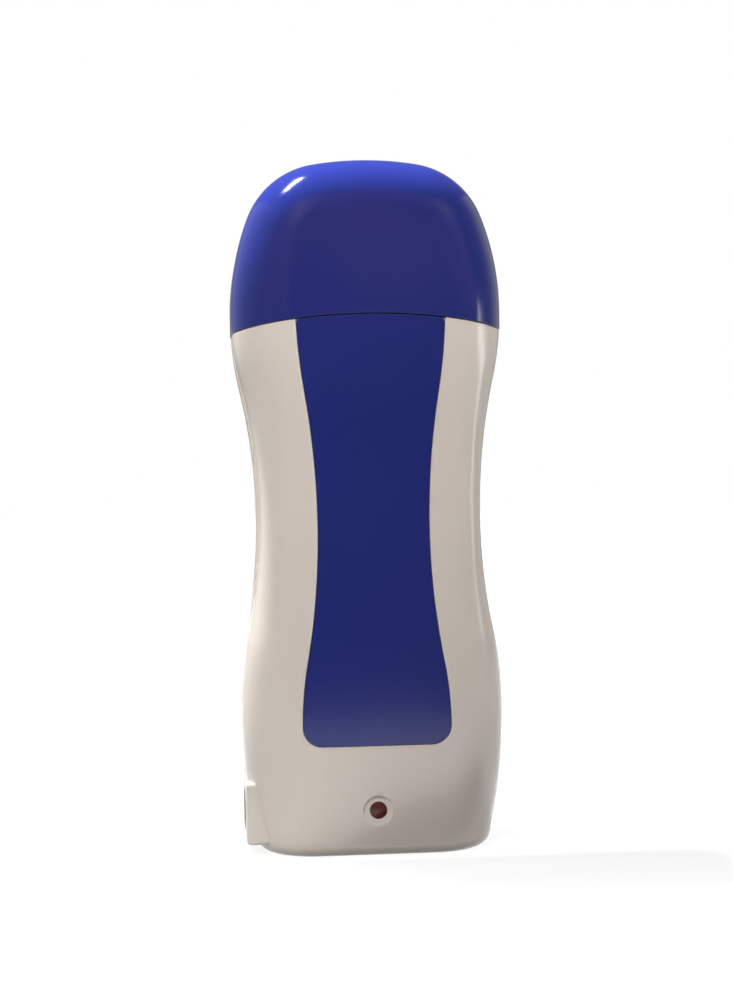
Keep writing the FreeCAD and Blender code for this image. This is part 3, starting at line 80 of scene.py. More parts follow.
# Outlines as (half width or half depth, height) of the foot, bulge, waist and shoulder
FRONT_MARKS = ((34.0, 0), (38.6, 43), (32.3, 98.5), (39.7, 159))
FRONT_RADII = (97, 168)  # arc above the bulge, arc above the waist
SIDE_MARKS = ((23.8, 0), (27, 43), (26, 98.5), (28, 159))
SIDE_RADII = (600, 400)
REAR_WAIST_EXTRA = 0.5  # how far the rear shell stands out beside the front one at the waist
EDGE_RADIUS = 17  # along the front and rear edges
WAIST_EDGE_RADIUS = 10  # the same at the waist
BASE_RADIUS = 3.5  # round the base
SHELL_WALL = 2.2
SHELL_ROUND = 0.22  # along the shells' sharp edges
FACE_CROWN = 0.03  # how much shallower the faces get towards the sides, as a share of the depth
CLEARANCE = 0.05  # round what is let into another piece

CAP_TOP = 203.3
CAP_SIDE_RADIUS, CAP_CORNER_RADIUS, CAP_TOP_RADIUS = 75.5, 24.8, 96
CAP_WALL = 2
CAP_RIM_ROUND = 0.3
SEAM_RADIUS = 180
SEAM_HEIGHT = 157.3  # in the middle
SEAM_GAP = 0.3

PANEL_MARKS = ((0, 0), (21.4, 38.2), (16.05, 96), (21.65, 165))
PANEL_RADII = (102, 234)
PANEL_CORNER = 5.5
PANEL_TOP_CORNER = 1.2
PANEL_DEPTH = 1.3
PANEL_GAP = 0.2
PANEL_SEAT_GAP = 0.02
PANEL_ROUND = 0.35

INLET_ROUND, INLET_ROUND_STEPS = 1.2, 6
# From the low and high corners of the CAD's block to those of the visible one
INLET_GROWTH = np.array([[-0.5, 0, 0.5], [0, 0, 1.5]])
SOCKET_CORNER, SOCKET_WALL, SOCKET_ROUND = 5.7, 1.1, 0.2
SOCKET_HOLE = (-50, 0)  # from outside the block to inside the housing
SOCKET_HOLE_ROUND = 0.25

LAMP_HEIGHT = 13.7
DISH_RADIUS, DISH_DEPTH = 4.3, 0.5
LENS_RADIUS, LENS_RISE, LENS_FLANGE = 2.5, 0.6, 1
LENS_HOLE_LENGTH = 12
CUTTER_LEAD = 5  # how far the lamp's cutters start in front of the face

SCREW_PLACES = [(side * x, z) for x, z in ((29.5, 37), (32.4, 143)) for side in (-1, 1)]
SLEEVE_START, SLEEVE_RADIUS = 0.2, 4
WELL_SEAT, WELL_RADIUS = 9, 3.1
SCREW_HOLE_START, SCREW_HOLE_RADIUS = -1, 1.7
SCREW_CUTTER_LENGTH = 40


class Outline:
    """One side of a waisted outline made of tangent arcs, upright at bulge, waist and shoulder."""

    def __init__(self, marks, radii):
        self.foot, self.bulge, self.waist, self.shoulder = marks
        self.belly, self.grip = radii
        self.foot_radius = self.radii_sum(self.foot, self.bulge)
        self.hollow = self.radii_sum(self.bulge, self.waist) - self.belly
        self.top = self.radii_sum(self.waist, self.shoulder) - self.grip

    @staticmethod
    def radii_sum(one, other):
        """The radii of the two tangent arcs that join two upright marks, added up."""
        across, up = abs(one[0] - other[0]), one[1] - other[1]
        return (across**2 + up**2) / (2 * across)

    def grown(self, gap):
        """The same outline, moved outwards by a gap."""
        upper = [(half + gap, height) for half, height in (self.bulge, self.waist, self.shoulder)]
        return Outline([self.foot, *upper], (self.belly + gap, self.grip - gap))

    def half(self, z):
        """The outline's distance from the middle plane at a height."""
        z = np.asarray(z, float)
        rise, climb = self.waist[1] - self.bulge[1], self.shoulder[1] - self.waist[1]
        lower = self.bulge[1] + rise * self.belly / (self.belly + self.hollow)
        upper = self.waist[1] + climb * self.grip / (self.grip + self.top)

        def bend(mark, radius):
            return radius - np.sqrt(np.maximum(radius**2 - (z - mark[1]) ** 2, 0))

        return np.select(
            [z <= self.bulge[1], z <= lower, z <= self.waist[1], z <= upper],
            [self.bulge[0] - bend(self.bulge, self.foot_radius),
             self.bulge[0] - bend(self.bulge, self.belly),
             self.waist[0] + bend(self.waist, self.hollow),
             self.waist[0] + bend(self.waist, self.grip)],
            self.shoulder[0] - bend(self.shoulder, self.top))


FRONT = Outline(FRONT_MARKS, FRONT_RADII)
REAR_WAIST = (FRONT_MARKS[2][0] + REAR_WAIST_EXTRA, FRONT_MARKS[2][1])
REAR = Outline((*FRONT_MARKS[:2], REAR_WAIST, FRONT_MARKS[3]), FRONT_RADII)
SIDE = Outline(SIDE_MARKS, SIDE_RADII)
PANEL = Outline(PANEL_MARKS, PANEL_RADII)
PANEL_CORNER_HEIGHT = PANEL_MARKS[1][1]


def edge_radius(z):
    """The rounding along the front and rear edges at a height: tighter round the waist."""
    (_, bulge), (_, waist), (_, shoulder) = FRONT_MARKS[1:]
    share = np.clip((z - waist) / np.where(z < waist, waist - bulge, shoulder - waist), -1, 1)
    return EDGE_RADIUS - (EDGE_RADIUS - WAIST_EDGE_RADIUS) * (1 - share**2) ** 2


def crowned(points):
    """Make the front and rear faces slightly convex: their depth shrinks towards the sides."""
    across = (points[..., 0] / FRONT_MARKS[3][0]) ** 2
    points[..., 1] *= 1 - FACE_CROWN * across
    return points


def seam(x, gap):
    """The height of the arched seam at a distance from the middle plane."""
    return SEAM_HEIGHT - SEAM_RADIUS + np.sqrt((SEAM_RADIUS - gap) ** 2 - x**2)


# ---------- Mesh helpers ----------

SHARP_ANGLE = 35
SOFT_SHARP_ANGLE = 50  # for the bottle and the wax
WELD, SLIVER = 0.002, 0.0002  # points this near are joined, and edges this short are dropped
ROD_SEGMENTS = 64
RING_CORNER_STEPS = 10


def finish_mesh(mesh, sharp=SHARP_ANGLE):
    """Smooth shading, with edges that turn by more than an angle left sharp."""
    mesh.shade_smooth()
    mesh.set_sharp_from_angle(angle=math.radians(sharp))


def add_object(name, data):
    """A new object in the scene."""
    thing = bpy.data.objects.new(name, data)
    bpy.context.scene.collection.objects.link(thing)
    return thing


class Skin:
    """Patches of surface that are welded where their edges meet."""

    def __init__(self):
        self.points, self.faces = [], []

    def grid(self, rows):
        """A patch of quads between rows of points."""
        rows = np.asarray(rows, float)
        count, width = rows.shape[:2]
        first = len(self.points)
        self.points += rows.reshape(-1, 3).tolist()
        for row in range(count - 1):
            for column in range(width - 1):
                corner = first + row * width + column
                self.faces.append((corner, corner + 1, corner + width + 1, corner + width))

    def face(self, loop):
        """One flat face round a loop of points."""
        first = len(self.points)
        self.points += np.asarray(loop, float).tolist()
        self.faces.append(tuple(range(first, len(self.points))))

    def make(self, name, sharp=SHARP_ANGLE):
        """The closed piece, as an object."""
        mesh = bpy.data.meshes.new(name)
        mesh.from_pydata([[v * MM for v in point] for point in self.points], [], self.faces)
        shape = bmesh.new()
        shape.from_mesh(mesh)
        bmesh.ops.remove_doubles(shape, verts=shape.verts, dist=WELD * MM)
        bmesh.ops.dissolve_degenerate(shape, edges=shape.edges, dist=SLIVER * MM)
        bmesh.ops.recalc_face_normals(shape, faces=shape.faces)
        shape.to_mesh(mesh)
        shape.free()
        finish_mesh(mesh, sharp)
        return add_object(name, mesh)


def stacked(loops):
    """A closed skin through loops of points, with a face on both ends."""
    skin = Skin()
    skin.grid(loops)
    for loop in (loops[0], loops[-1]):
        skin.face(loop[:-1])
    return skin


def rounded(piece, width, segments=3):
    """Small rounds along a piece's sharp edges."""
    bevel = piece.modifiers.new("edge_rounds", "BEVEL")
    bevel.width = width * MM
    bevel.segments = segments
    bevel.limit_method = "ANGLE"
    bevel.angle_limit = math.radians(SHARP_ANGLE)
    bevel.harden_normals = True
    return piece


def welded(node):
    """A CAD node with its split corners joined, so that rounds can follow its edges."""
    weld = node.modifiers.new("joined_corners", "WELD")
    weld.merge_threshold = WELD * MM
    return node


def rod(start, radius, length):
    """A cutter: a cylinder from a point along +y."""
    mesh = bpy.data.meshes.new("rod")
    shape = bmesh.new()
    place = Matrix.Translation(Vector(start) * MM) @ Matrix.Rotation(-math.pi / 2, 4, "X")
    place = place @ Matrix.Translation((0, 0, length * MM / 2))
    bmesh.ops.create_cone(shape, cap_ends=True, segments=ROD_SEGMENTS, radius1=radius * MM,
                          radius2=radius * MM, depth=length * MM, matrix=place)
    shape.to_mesh(mesh)
    shape.free()
    return add_object("rod", mesh)


def block(low, high):
    """A box between two corners."""
    (x0, y0, z0), (x1, y1, z1) = low, high
    base = [(x0, y0), (x1, y0), (x1, y1), (x0, y1), (x0, y0)]
    return stacked([[(x, y, z) for x, y in base] for z in (z0, z1)]).make("block")


def baked(piece):
    """A piece with its modifiers made part of its mesh."""
    bpy.context.view_layer.update()
    shown = piece.evaluated_get(bpy.context.evaluated_depsgraph_get())
    mesh = bpy.data.meshes.new_from_object(shown)
    piece.modifiers.clear()
    piece.data = mesh
    finish_mesh(mesh)
    return piece


def carve(piece, tools, operation="DIFFERENCE"):
    """Cut tools out of a piece, join them to it or keep what they share, for good."""
    for tool in tools:
        boolean = piece.modifiers.new("carve", "BOOLEAN")
        boolean.operation = operation
        boolean.object = tool
        boolean.solver = "EXACT"
    baked(piece)
    for tool in tools:
        bpy.data.objects.remove(tool)
    return piece


def edge_round(radius, steps):
    """Points round a rounded edge, as distances from the two faces that meet there."""
    turn = np.linspace(0, math.pi / 2, steps + 1)
    return [(radius * (1 - math.cos(a)), radius * (1 - math.sin(a))) for a in turn]


def rounded_rectangle(half_x, half_y, radius, centre_y, z):
    """A closed ring of points, level at a height."""
    ring = []
    for quarter, (sign_x, sign_y) in enumerate(((1, 1), (-1, 1), (-1, -1), (1, -1))):
        for step in range(RING_CORNER_STEPS + 1):
            angle = math.pi / 2 * (quarter + step / RING_CORNER_STEPS)
            ring.append((sign_x * (half_x - radius) + radius * math.cos(angle),
                         centre_y + sign_y * (half_y - radius) + radius * math.sin(angle), z))
    return ring + ring[:1]


def turned(name, profile, axis, centre, segments):
    """A piece turned round the x or y axis through a centre.

    The profile's (along, radius) points start and end on the axis, or close up.
    """
    rows = []
    for along, radius in profile:
        row = []
        for step in range(segments + 1):
            angle = 2 * math.pi * (step % segments) / segments
            u, v = radius * math.cos(angle), radius * math.sin(angle)
            offset = {"x": (along, u, v), "y": (u, along, v)}[axis]
            row.append([c + o for c, o in zip(centre, offset)])
        rows.append(row)
    skin = Skin()
    skin.grid(rows)
    return skin.make(name)


# ---------- Shells, inlay and cap ----------

BASE_ROUND_STEPS = 6
APRON_ROWS = 22  # below the inlay
CORNER_ROWS = 8  # beside the inlay's lower corners
UPPER_ROWS = 84  # from there to the seam
PANEL_FOOT_ROW = BASE_ROUND_STEPS + APRON_ROWS  # the row along the inlay's lower edge
FLANK_COLUMNS = 40
BED_COLUMNS = 16
PANEL_COLUMNS = 32  # over the middle of the inlay
PANEL_SIDE_COLUMNS = 8  # over each side of it, where the upper corner is round
PANEL_MIDDLE_SHARE = 0.9  # how much of the inlay counts as its middle
SEAM_PASSES = 8


def panel_half(z, gap):
    """Half the inlay's width at a height, grown by a gap; constant below its lower edge."""
    z = np.asarray(z, float)
    radius = PANEL_CORNER + gap
    drop = np.clip(PANEL_CORNER_HEIGHT - z, 0, radius)
    corner = PANEL_MARKS[1][0] + gap - radius + np.sqrt(radius**2 - drop**2)
    return np.where(z < PANEL_CORNER_HEIGHT, corner, PANEL.grown(gap).half(z))


def lower_rows(gap):
    """Heights and insets of the rows from the base up to the inlay's corners."""
    heights, insets = (list(v) for v in zip(*edge_round(BASE_RADIUS, BASE_ROUND_STEPS)))
    radius = PANEL_CORNER + gap
    apron = np.linspace(BASE_RADIUS, PANEL_CORNER_HEIGHT - radius, APRON_ROWS + 1)[1:]
    turn = np.linspace(0, math.pi / 2, CORNER_ROWS + 1)[1:]
    heights += [*apron, *(PANEL_CORNER_HEIGHT - radius * np.cos(turn))]
    insets += [0.0] * (APRON_ROWS + CORNER_ROWS)
    return np.array(heights), np.array(insets)


def flank_points(outline, share, z, inset, start):
    """The section at a height, from a start beside the middle round to the joint plane."""
    radius = edge_radius(z) - inset
    half_x, half_y = outline.half(z) - inset, SIDE.half(z) - inset
    flat = half_x - radius
    beyond = np.clip((start - flat) / radius, 0, 1)
    first = np.where(start > flat, flat + radius * np.arcsin(beyond), start)
    length = flat + radius * math.pi / 2 + half_y - radius
    run = first + share * (length - first)
    angle = np.clip((run - flat) / radius, 0, math.pi / 2)
    past = np.maximum(run - flat - radius * math.pi / 2, 0)
    x = np.where(run < flat, run, flat + radius * np.sin(angle))
    y = half_y - radius * (1 - np.cos(angle)) - past
    return x, y


def row_heights(lower, tops):
    """Rows of heights, which reach the seam in every column."""
    start = lower[-1]
    upper = np.linspace(0, 1, UPPER_ROWS + 1)[1:, None] * (tops[None, :] - start) + start
    return np.vstack([np.repeat(lower[:, None], len(tops), axis=1), upper])


def seam_tops(width_at):
    """The seam's height in each column of a patch whose x follows from the height."""
    tops = np.full_like(width_at(SEAM_HEIGHT), SEAM_HEIGHT)
    for _ in range(SEAM_PASSES):
        tops = seam(width_at(tops), SEAM_GAP)
    return tops


def wall_rows(wall):
    """The lower rows' heights and all rows' insets, outside (no wall) or inside a shell."""
    lower, insets = lower_rows(PANEL_GAP)
    if wall:
        lower = wall + lower * (lower[-1] - wall) / lower[-1]
        insets = np.full_like(insets, wall)
    return lower, np.concatenate([insets, np.full(UPPER_ROWS, wall)])[:, None]


def groove_half(z):
    """Half the width of the inlay's bed at a height."""
    return panel_half(z, PANEL_GAP)


def flank(outline, facing, side, wall):
    """One side of a shell, outside (no wall) or inside: rows of points."""
    share = np.linspace(0, 1, FLANK_COLUMNS + 1)
    lower, insets = wall_rows(wall)
    tops = seam_tops(lambda z: flank_points(outline, share, z, wall, groove_half(z))[0])
    z = row_heights(lower, tops)
    x, y = flank_points(outline, share[None, :], z, insets, groove_half(z))
    return crowned(np.stack([side * x, facing * y, z], axis=-1))


def middle(facing, wall, depth=0.0):
    """The strip between the two flanks, as deep as the inlay's bed or level with them."""
    across = np.linspace(-1, 1, BED_COLUMNS + 1)
    lower, insets = wall_rows(wall)
    z = row_heights(lower, seam_tops(lambda z: across * groove_half(z)))
    x = across[None, :] * groove_half(z)
    y = SIDE.half(z) - insets - depth
    return crowned(np.stack([x, facing * y, z], axis=-1))


def shell_skin(outline, facing, with_bed):
    """One half of the housing as a closed skin, with the inlay's bed where it has one."""
    skin = Skin()
    outer = {side: flank(outline, facing, side, 0.0) for side in (-1, 1)}
    inner = {side: flank(outline, facing, side, SHELL_WALL) for side in (-1, 1)}
    face = middle(facing, 0.0)
    back = middle(facing, SHELL_WALL)
    for side in (-1, 1):
        skin.grid(outer[side])
        skin.grid(inner[side])
        skin.grid([outer[side][:, -1], inner[side][:, -1]])  # along the joint plane
        skin.grid([outer[side][-1], inner[side][-1]])  # along the seam
    skin.grid(back)
    if with_bed:
        bed = middle(facing, 0.0, PANEL_DEPTH)[PANEL_FOOT_ROW:]
        skin.grid(face[:PANEL_FOOT_ROW + 1])
        skin.grid(bed)
        skin.grid([face[PANEL_FOOT_ROW], bed[0]])
        for column in (0, -1):
            skin.grid([face[PANEL_FOOT_ROW:, column], bed[:, column]])
            skin.face([face[-1, column], bed[-1, column], back[-1, column]])
        skin.grid([bed[-1], back[-1]])
    else:
        skin.grid(face)
        skin.grid([face[-1], back[-1]])
    for patch, sides in ((face, outer), (back, inner)):  # the bottom, outside and inside
        skin.face(list(sides[-1][0][::-1]) + list(patch[0][1:-1]) + list(sides[1][0]))
    skin.grid([[sides[side][0, -1] for side in (-1, 1)] for sides in (outer, inner)])
    return skin


def inlet_block(clearance=0.0):
    """The outside of the power inlet, softly rounded; with a clearance it opens both shells."""
    low, high = node_box("inlet_housing")
    piece = block(low + INLET_GROWTH[0] - clearance, high + INLET_GROWTH[1] + clearance)
    return baked(rounded(piece, INLET_ROUND, INLET_ROUND_STEPS))


def socket_skin(rings):
    """A closed skin through the socket's outline at (x, inset) rings."""
    low, high = node_box("inlet_socket")
    half_y, half_z, middle_z = high[1], (high[2] - low[2]) / 2, (high[2] + low[2]) / 2
    loops = []
    for x, inset in rings:
        ring = rounded_rectangle(half_y - inset, half_z - inset, SOCKET_CORNER - inset, middle_z, 0)
        loops.append([(x, y, z) for y, z, _ in ring])
    return stacked(loops)


def inlet_housing():
    """The inlet's block with the hole for its dark socket."""
    hole = socket_skin([(x, -CLEARANCE) for x in SOCKET_HOLE]).make("socket_hole")
    piece = rounded(carve(inlet_block(), [hole]), SOCKET_HOLE_ROUND, segments=2)
    piece.name = "inlet_case"
    return piece


def inlet_socket():
    """The dark insert round the two pins, just behind the block's face."""
    low, high = node_box("inlet_socket")
    face, back = low[0] + INLET_GROWTH[0, 0], high[0]
    rings = [(back, 0), (face, 0), (face, SOCKET_WALL), (back - SOCKET_WALL, SOCKET_WALL)]
    return rounded(socket_skin(rings).make("socket_insert"), SOCKET_ROUND)


def front_shell():
    """The white front half: bed of the inlay, lamp hole and its shallow dish."""
    piece = shell_skin(FRONT, facing=-1, with_bed=True).make("front_shell_skin")
    start = (0, -float(SIDE.half(LAMP_HEIGHT)) - CUTTER_LEAD, LAMP_HEIGHT)
    dish = rod(start, DISH_RADIUS, CUTTER_LEAD + DISH_DEPTH)
    hole = rod(start, LENS_RADIUS + CLEARANCE, LENS_HOLE_LENGTH)
    carve(piece, [dish, hole, inlet_block(CLEARANCE)])
    return rounded(piece, SHELL_ROUND, segments=2)


def screw_rods(start, radius):
    """Rods backwards from a distance behind the joint plane, one for each case screw."""
    return [rod((x, start, z), radius, SCREW_CUTTER_LENGTH) for x, z in SCREW_PLACES]


def screw_sleeves():
    """The sleeves over the case screws, which end inside the rear shell's wall."""
    inside = SHELL_WALL / 2
    left, right = (flank(REAR, 1, side, inside) for side in (-1, 1))
    loops = [list(a[::-1]) + list(b[1:-1]) + list(c)
             for a, b, c in zip(left, middle(1, inside), right)]
    form = stacked([loop + loop[:1] for loop in loops]).make("wall_middle")
    first, *others = screw_rods(SLEEVE_START, SLEEVE_RADIUS)
    return carve(carve(first, others, "UNION"), [form], "INTERSECT")


def rear_shell():
    """The white rear half, with sunk sleeves over the case screws."""
    piece = shell_skin(REAR, facing=1, with_bed=False).make("rear_shell_skin")
    carve(piece, [screw_sleeves()], "UNION")
    wells = screw_rods(WELL_SEAT, WELL_RADIUS)
    holes = screw_rods(SCREW_HOLE_START, SCREW_HOLE_RADIUS)
    cuts = [cut for pair in zip(wells, holes) for cut in pair]
    carve(piece, [inlet_block(CLEARANCE), *cuts])
    return rounded(piece, SHELL_ROUND, segments=2)


def front_panel():
    """The blue inlay, flush with the shell round it."""
    side = np.linspace(PANEL_MIDDLE_SHARE, 1, PANEL_SIDE_COLUMNS + 1)[1:]
    centre = np.linspace(-PANEL_MIDDLE_SHARE, PANEL_MIDDLE_SHARE, PANEL_COLUMNS + 1)
    across = np.concatenate([-side[::-1], centre, side])
    tops = seam_tops(lambda z: across * panel_half(z, 0))
    half = panel_half(SEAM_HEIGHT, 0)
    past = np.maximum(np.abs(across) * half - half + PANEL_TOP_CORNER, 0)
    tops -= PANEL_TOP_CORNER - np.sqrt(np.maximum(PANEL_TOP_CORNER**2 - past**2, 0))
    z = row_heights(lower_rows(0)[0][PANEL_FOOT_ROW:], tops)
    x = across[None, :] * panel_half(z, 0)
    sheets = [crowned(np.stack([x, depth - SIDE.half(z), z], axis=-1))
              for depth in (0, PANEL_DEPTH - PANEL_SEAT_GAP)]
    skin = Skin()
    for sheet in sheets:
        skin.grid(sheet)
    for edge in (lambda s: s[0], lambda s: s[-1], lambda s: s[:, 0], lambda s: s[:, -1]):
        skin.grid([edge(sheet) for sheet in sheets])
    return rounded(skin.make("front_panel_sheet"), PANEL_ROUND)


class Crown:
    """The cap's outline above the shoulder: a side arc, a corner arc and the shared top arc."""

    STEPS = (6, 16, 22, 18)  # upright side, side arc, corner arc, half of the top arc

    def __init__(self):
        self.half, self.shoulder = FRONT_MARKS[3]
        self.side_centre = np.array([self.half - CAP_SIDE_RADIUS, self.shoulder])
        self.top_centre = np.array([0, CAP_TOP - CAP_TOP_RADIUS])
        to_top = self.top_centre - self.side_centre
        gap = np.linalg.norm(to_top)
        from_side = CAP_SIDE_RADIUS - CAP_CORNER_RADIUS
        from_top = CAP_TOP_RADIUS - CAP_CORNER_RADIUS
        along = (from_side**2 - from_top**2 + gap**2) / (2 * gap)
        across = math.sqrt(from_side**2 - along**2)
        forward = to_top / gap
        square = np.array([-forward[1], forward[0]])
        self.corner_centre = self.side_centre + forward * along + square * across
        self.side_end = self.angle(self.corner_centre - self.side_centre)
        self.corner_end = self.angle(self.corner_centre - self.top_centre)

    @staticmethod
    def angle(direction):
        """The angle from +x to a direction."""
        return math.atan2(direction[1], direction[0])

    def points(self, inset):
        """The outline from the right end of the seam to the left one, moved in by an inset."""
        side_steps, *arc_steps = self.STEPS
        half = self.half - inset
        low = seam(half, 0)
        rise = self.shoulder - low
        right = [(half, low + rise * step / side_steps) for step in range(side_steps)]
        arcs = [(self.side_centre, CAP_SIDE_RADIUS, 0, self.side_end),
                (self.corner_centre, CAP_CORNER_RADIUS, self.side_end, self.corner_end),
                (self.top_centre, CAP_TOP_RADIUS, self.corner_end, math.pi / 2)]
        for (centre, radius, start, finish), count in zip(arcs, arc_steps):
            for angle in np.linspace(start, finish, count + 1)[:-1]:
                direction = np.array([math.cos(angle), math.sin(angle)])
                right.append(tuple(centre + (radius - inset) * direction))
        left = [(-x, z) for x, z in reversed(right)]
        return np.array(right + [(0, CAP_TOP - inset)] + left)


CAP_ROUND_STEPS = 16
CAP_BAND_STEPS = 8
CAP_LIP_STEPS = 24
FACE_RINGS = (1, 0.975, 0.9, 0.75, 0.5, 0.25)  # how the flat faces are filled, towards a centre
FACE_CENTRE_RISE = 12  # of that centre above the shoulder


def cap_skin(skin, crown, inset):
    """One face of the cap's wall, moved in by an inset; returns its closed loop at the seam."""
    radius = EDGE_RADIUS - inset
    face = SIDE_MARKS[3][0] - inset
    levels = [(up - face, inset + moved) for up, moved in edge_round(radius, CAP_ROUND_STEPS)]
    band = np.linspace(levels[-1][0], -levels[-1][0], CAP_BAND_STEPS + 1)[1:-1]
    levels += [(y, inset) for y in band]
    levels += [(-y, moved) for y, moved in reversed(levels[:CAP_ROUND_STEPS + 1])]
    rows = []
    for y, moved in levels:
        outline = crown.points(moved)
        rows.append(np.column_stack([outline[:, 0], np.full(len(outline), y), outline[:, 1]]))
    rows = crowned(np.array(rows))
    skin.grid(rows)
    lips = []
    for row, y in ((rows[0], -face), (rows[-1], face)):
        ends = crown.points(inset + radius)[[-1, 0], 0]
        x = np.linspace(ends[0], ends[1], CAP_LIP_STEPS + 1)
        lip = crowned(np.column_stack([x, np.full(len(x), float(y)), seam(x, 0)]))
        loop = np.vstack([row, lip[1:]])
        centre = np.array([0, y, crown.shoulder + FACE_CENTRE_RISE])
        skin.grid([crowned_ring(loop, centre, share, y) for share in FACE_RINGS])
        skin.face(crowned_ring(loop, centre, FACE_RINGS[-1], y)[:-1])
        lips.append(lip)
    return np.vstack([lips[0], rows[1:, 0], lips[1][::-1][1:], rows[::-1, -1][1:]])


def crowned_ring(loop, centre, share, y):
    """A loop drawn in towards a centre, on the crowned face."""
    ring = centre + (loop - centre) * share
    ring[:, 1] = y
    return crowned(ring)


def cap():
    """The blue lift-off cap."""
    skin = Skin()
    crown = Crown()
    skin.grid([cap_skin(skin, crown, inset) for inset in (0, CAP_WALL)])
    return rounded(skin.make("cap_moulding"), CAP_RIM_ROUND)


# ---------- Lamp, neck and cartridge ----------

LENS_STEPS, LENS_SEGMENTS = 8, 48
NECK_EDGE_INSET = 3  # how much tighter its corners are than the shells'
NECK_WALL, NECK_PLATE, NECK_ROUND = 1.6, 2, 0.4
BOTTLE_GAP = 0.5  # round the bottle in the neck's mouth
BOTTLE_WALL, BOTTLE_CORNER = 1.2, 12
BOTTLE_FOOT, BOTTLE_INNER_FOOT = 2.5, 1  # roundings of its foot
BOTTLE_FOOT_STEPS, BOTTLE_ROWS = 6, 9
WAX_FOOT = ((1.4, CLEARANCE), (CLEARANCE, 1.6))  # (inset, height) of the lower rings
WAX_TOP = ((CLEARANCE, 0), (1.0, 0.5), (4.0, 1.1), (8.0, 1.4))  # (inset, depth) of the upper ones
ROLLER_BORE, ROLLER_RIM, ROLLER_RIM_STEPS, ROLLER_SEGMENTS = 1.58, 0.8, 5, 72
HUB_RADIUS, HUB_FLOOR_RADIUS, HUB_DEPTH = 4, 3.6, 0.6  # the sunk ring round the bore


def lamp_lens():
    """The domed red lens."""
    low, high = node_box("lamp_lens")
    tip, radius = low[1], high[0]
    end = high[1] - tip
    flange = high[1] - LENS_FLANGE - tip
    sphere = (LENS_RADIUS**2 + LENS_RISE**2) / (2 * LENS_RISE)
    turn = np.linspace(0, math.asin(LENS_RADIUS / sphere), LENS_STEPS + 1)
    profile = [(sphere * (1 - math.cos(a)), sphere * math.sin(a)) for a in turn]
    profile += [(flange, LENS_RADIUS), (flange, radius), (end, radius), (end, 0)]
    return turned("lens_dome", profile, "y", (0, tip, LAMP_HEIGHT), LENS_SEGMENTS)


def neck_collar():
    """The plate over the chamber's mouth, with the rim that the cap is pushed over."""
    low, high = node_box("neck_collar")
    radius = EDGE_RADIUS - NECK_EDGE_INSET
    _, _, half_x, half_y, centre = node_section("wax_bottle")
    mouth = (half_x + BOTTLE_GAP, half_y + BOTTLE_GAP, BOTTLE_CORNER + BOTTLE_GAP, centre)
    outside = (high[0], high[1], radius, 0)
    inside = (high[0] - NECK_WALL, high[1] - NECK_WALL, radius - NECK_WALL, 0)
    bottom, top, plate = low[2], high[2], low[2] + NECK_PLATE
    rings = [(outside, bottom), (outside, top), (inside, top), (inside, plate),
             (mouth, plate), (mouth, bottom), (outside, bottom)]
    skin = Skin()
    skin.grid([rounded_rectangle(*ring, z) for ring, z in rings])
    return rounded(skin.make("neck_ring"), NECK_ROUND)


def wax_bottle():
    """The cartridge's bottle: a rounded pocket, open at the top under the head."""
    bottom, top, half_x, half_y, centre = node_section("wax_bottle")
    foot = bottom + BOTTLE_FOOT
    rings = [(inset, bottom + up) for up, inset in edge_round(BOTTLE_FOOT, BOTTLE_FOOT_STEPS)]
    rings += [(0, z) for z in np.linspace(foot, top, BOTTLE_ROWS + 1)[1:]]
    rings += [(BOTTLE_WALL, top), (BOTTLE_WALL, foot),
              (BOTTLE_WALL + BOTTLE_INNER_FOOT, bottom + BOTTLE_WALL)]
    loops = [rounded_rectangle(half_x - i, half_y - i, BOTTLE_CORNER - i, centre, z)
             for i, z in rings]
    return stacked(loops).make("bottle_wall", SOFT_SHARP_ANGLE)


def wax_fill():
    """The set wax, with a slightly hollow top."""
    bottom, top, half_x, half_y, centre = node_section("wax_fill")
    rings = [(i, bottom + up) for i, up in WAX_FOOT] + [(i, top - down) for i, down in WAX_TOP]
    corner = BOTTLE_CORNER - BOTTLE_WALL
    loops = [rounded_rectangle(half_x - i, half_y - i, corner - i, centre, z) for i, z in rings]
    return stacked(loops).make("wax_block", SOFT_SHARP_ANGLE)


def roller():
    """The roller with rounded ends and a bore."""
    low, high = node_box("roller")
    half, radius = high[0], (high[2] - low[2]) / 2
    rim = edge_round(ROLLER_RIM, ROLLER_RIM_STEPS)
    right = [(half - inset, radius - drop) for drop, inset in rim]
    floor_at = half - HUB_DEPTH
    right += [(half, HUB_RADIUS), (floor_at, HUB_FLOOR_RADIUS), (floor_at, ROLLER_BORE)]
    left = [(-along, r) for along, r in reversed(right)]
    centre = (0, (low[1] + high[1]) / 2, (low[2] + high[2]) / 2)
    return turned("roller_barrel", left + right + left[:1], "x", centre, ROLLER_SEGMENTS)


# ---------- Materials ----------

def map_range(nodes, links, value, start, finish, low, high):
    """A value's range from start to finish turned into numbers between low and high."""
    ramp = nodes.new("ShaderNodeMapRange")
    numbers = {"From Min": start, "From Max": finish, "To Min": low, "To Max": high}
    for socket, number in numbers.items():
        ramp.inputs[socket].default_value = number
    links.new(value, ramp.inputs["Value"])
    return ramp.outputs["Result"]


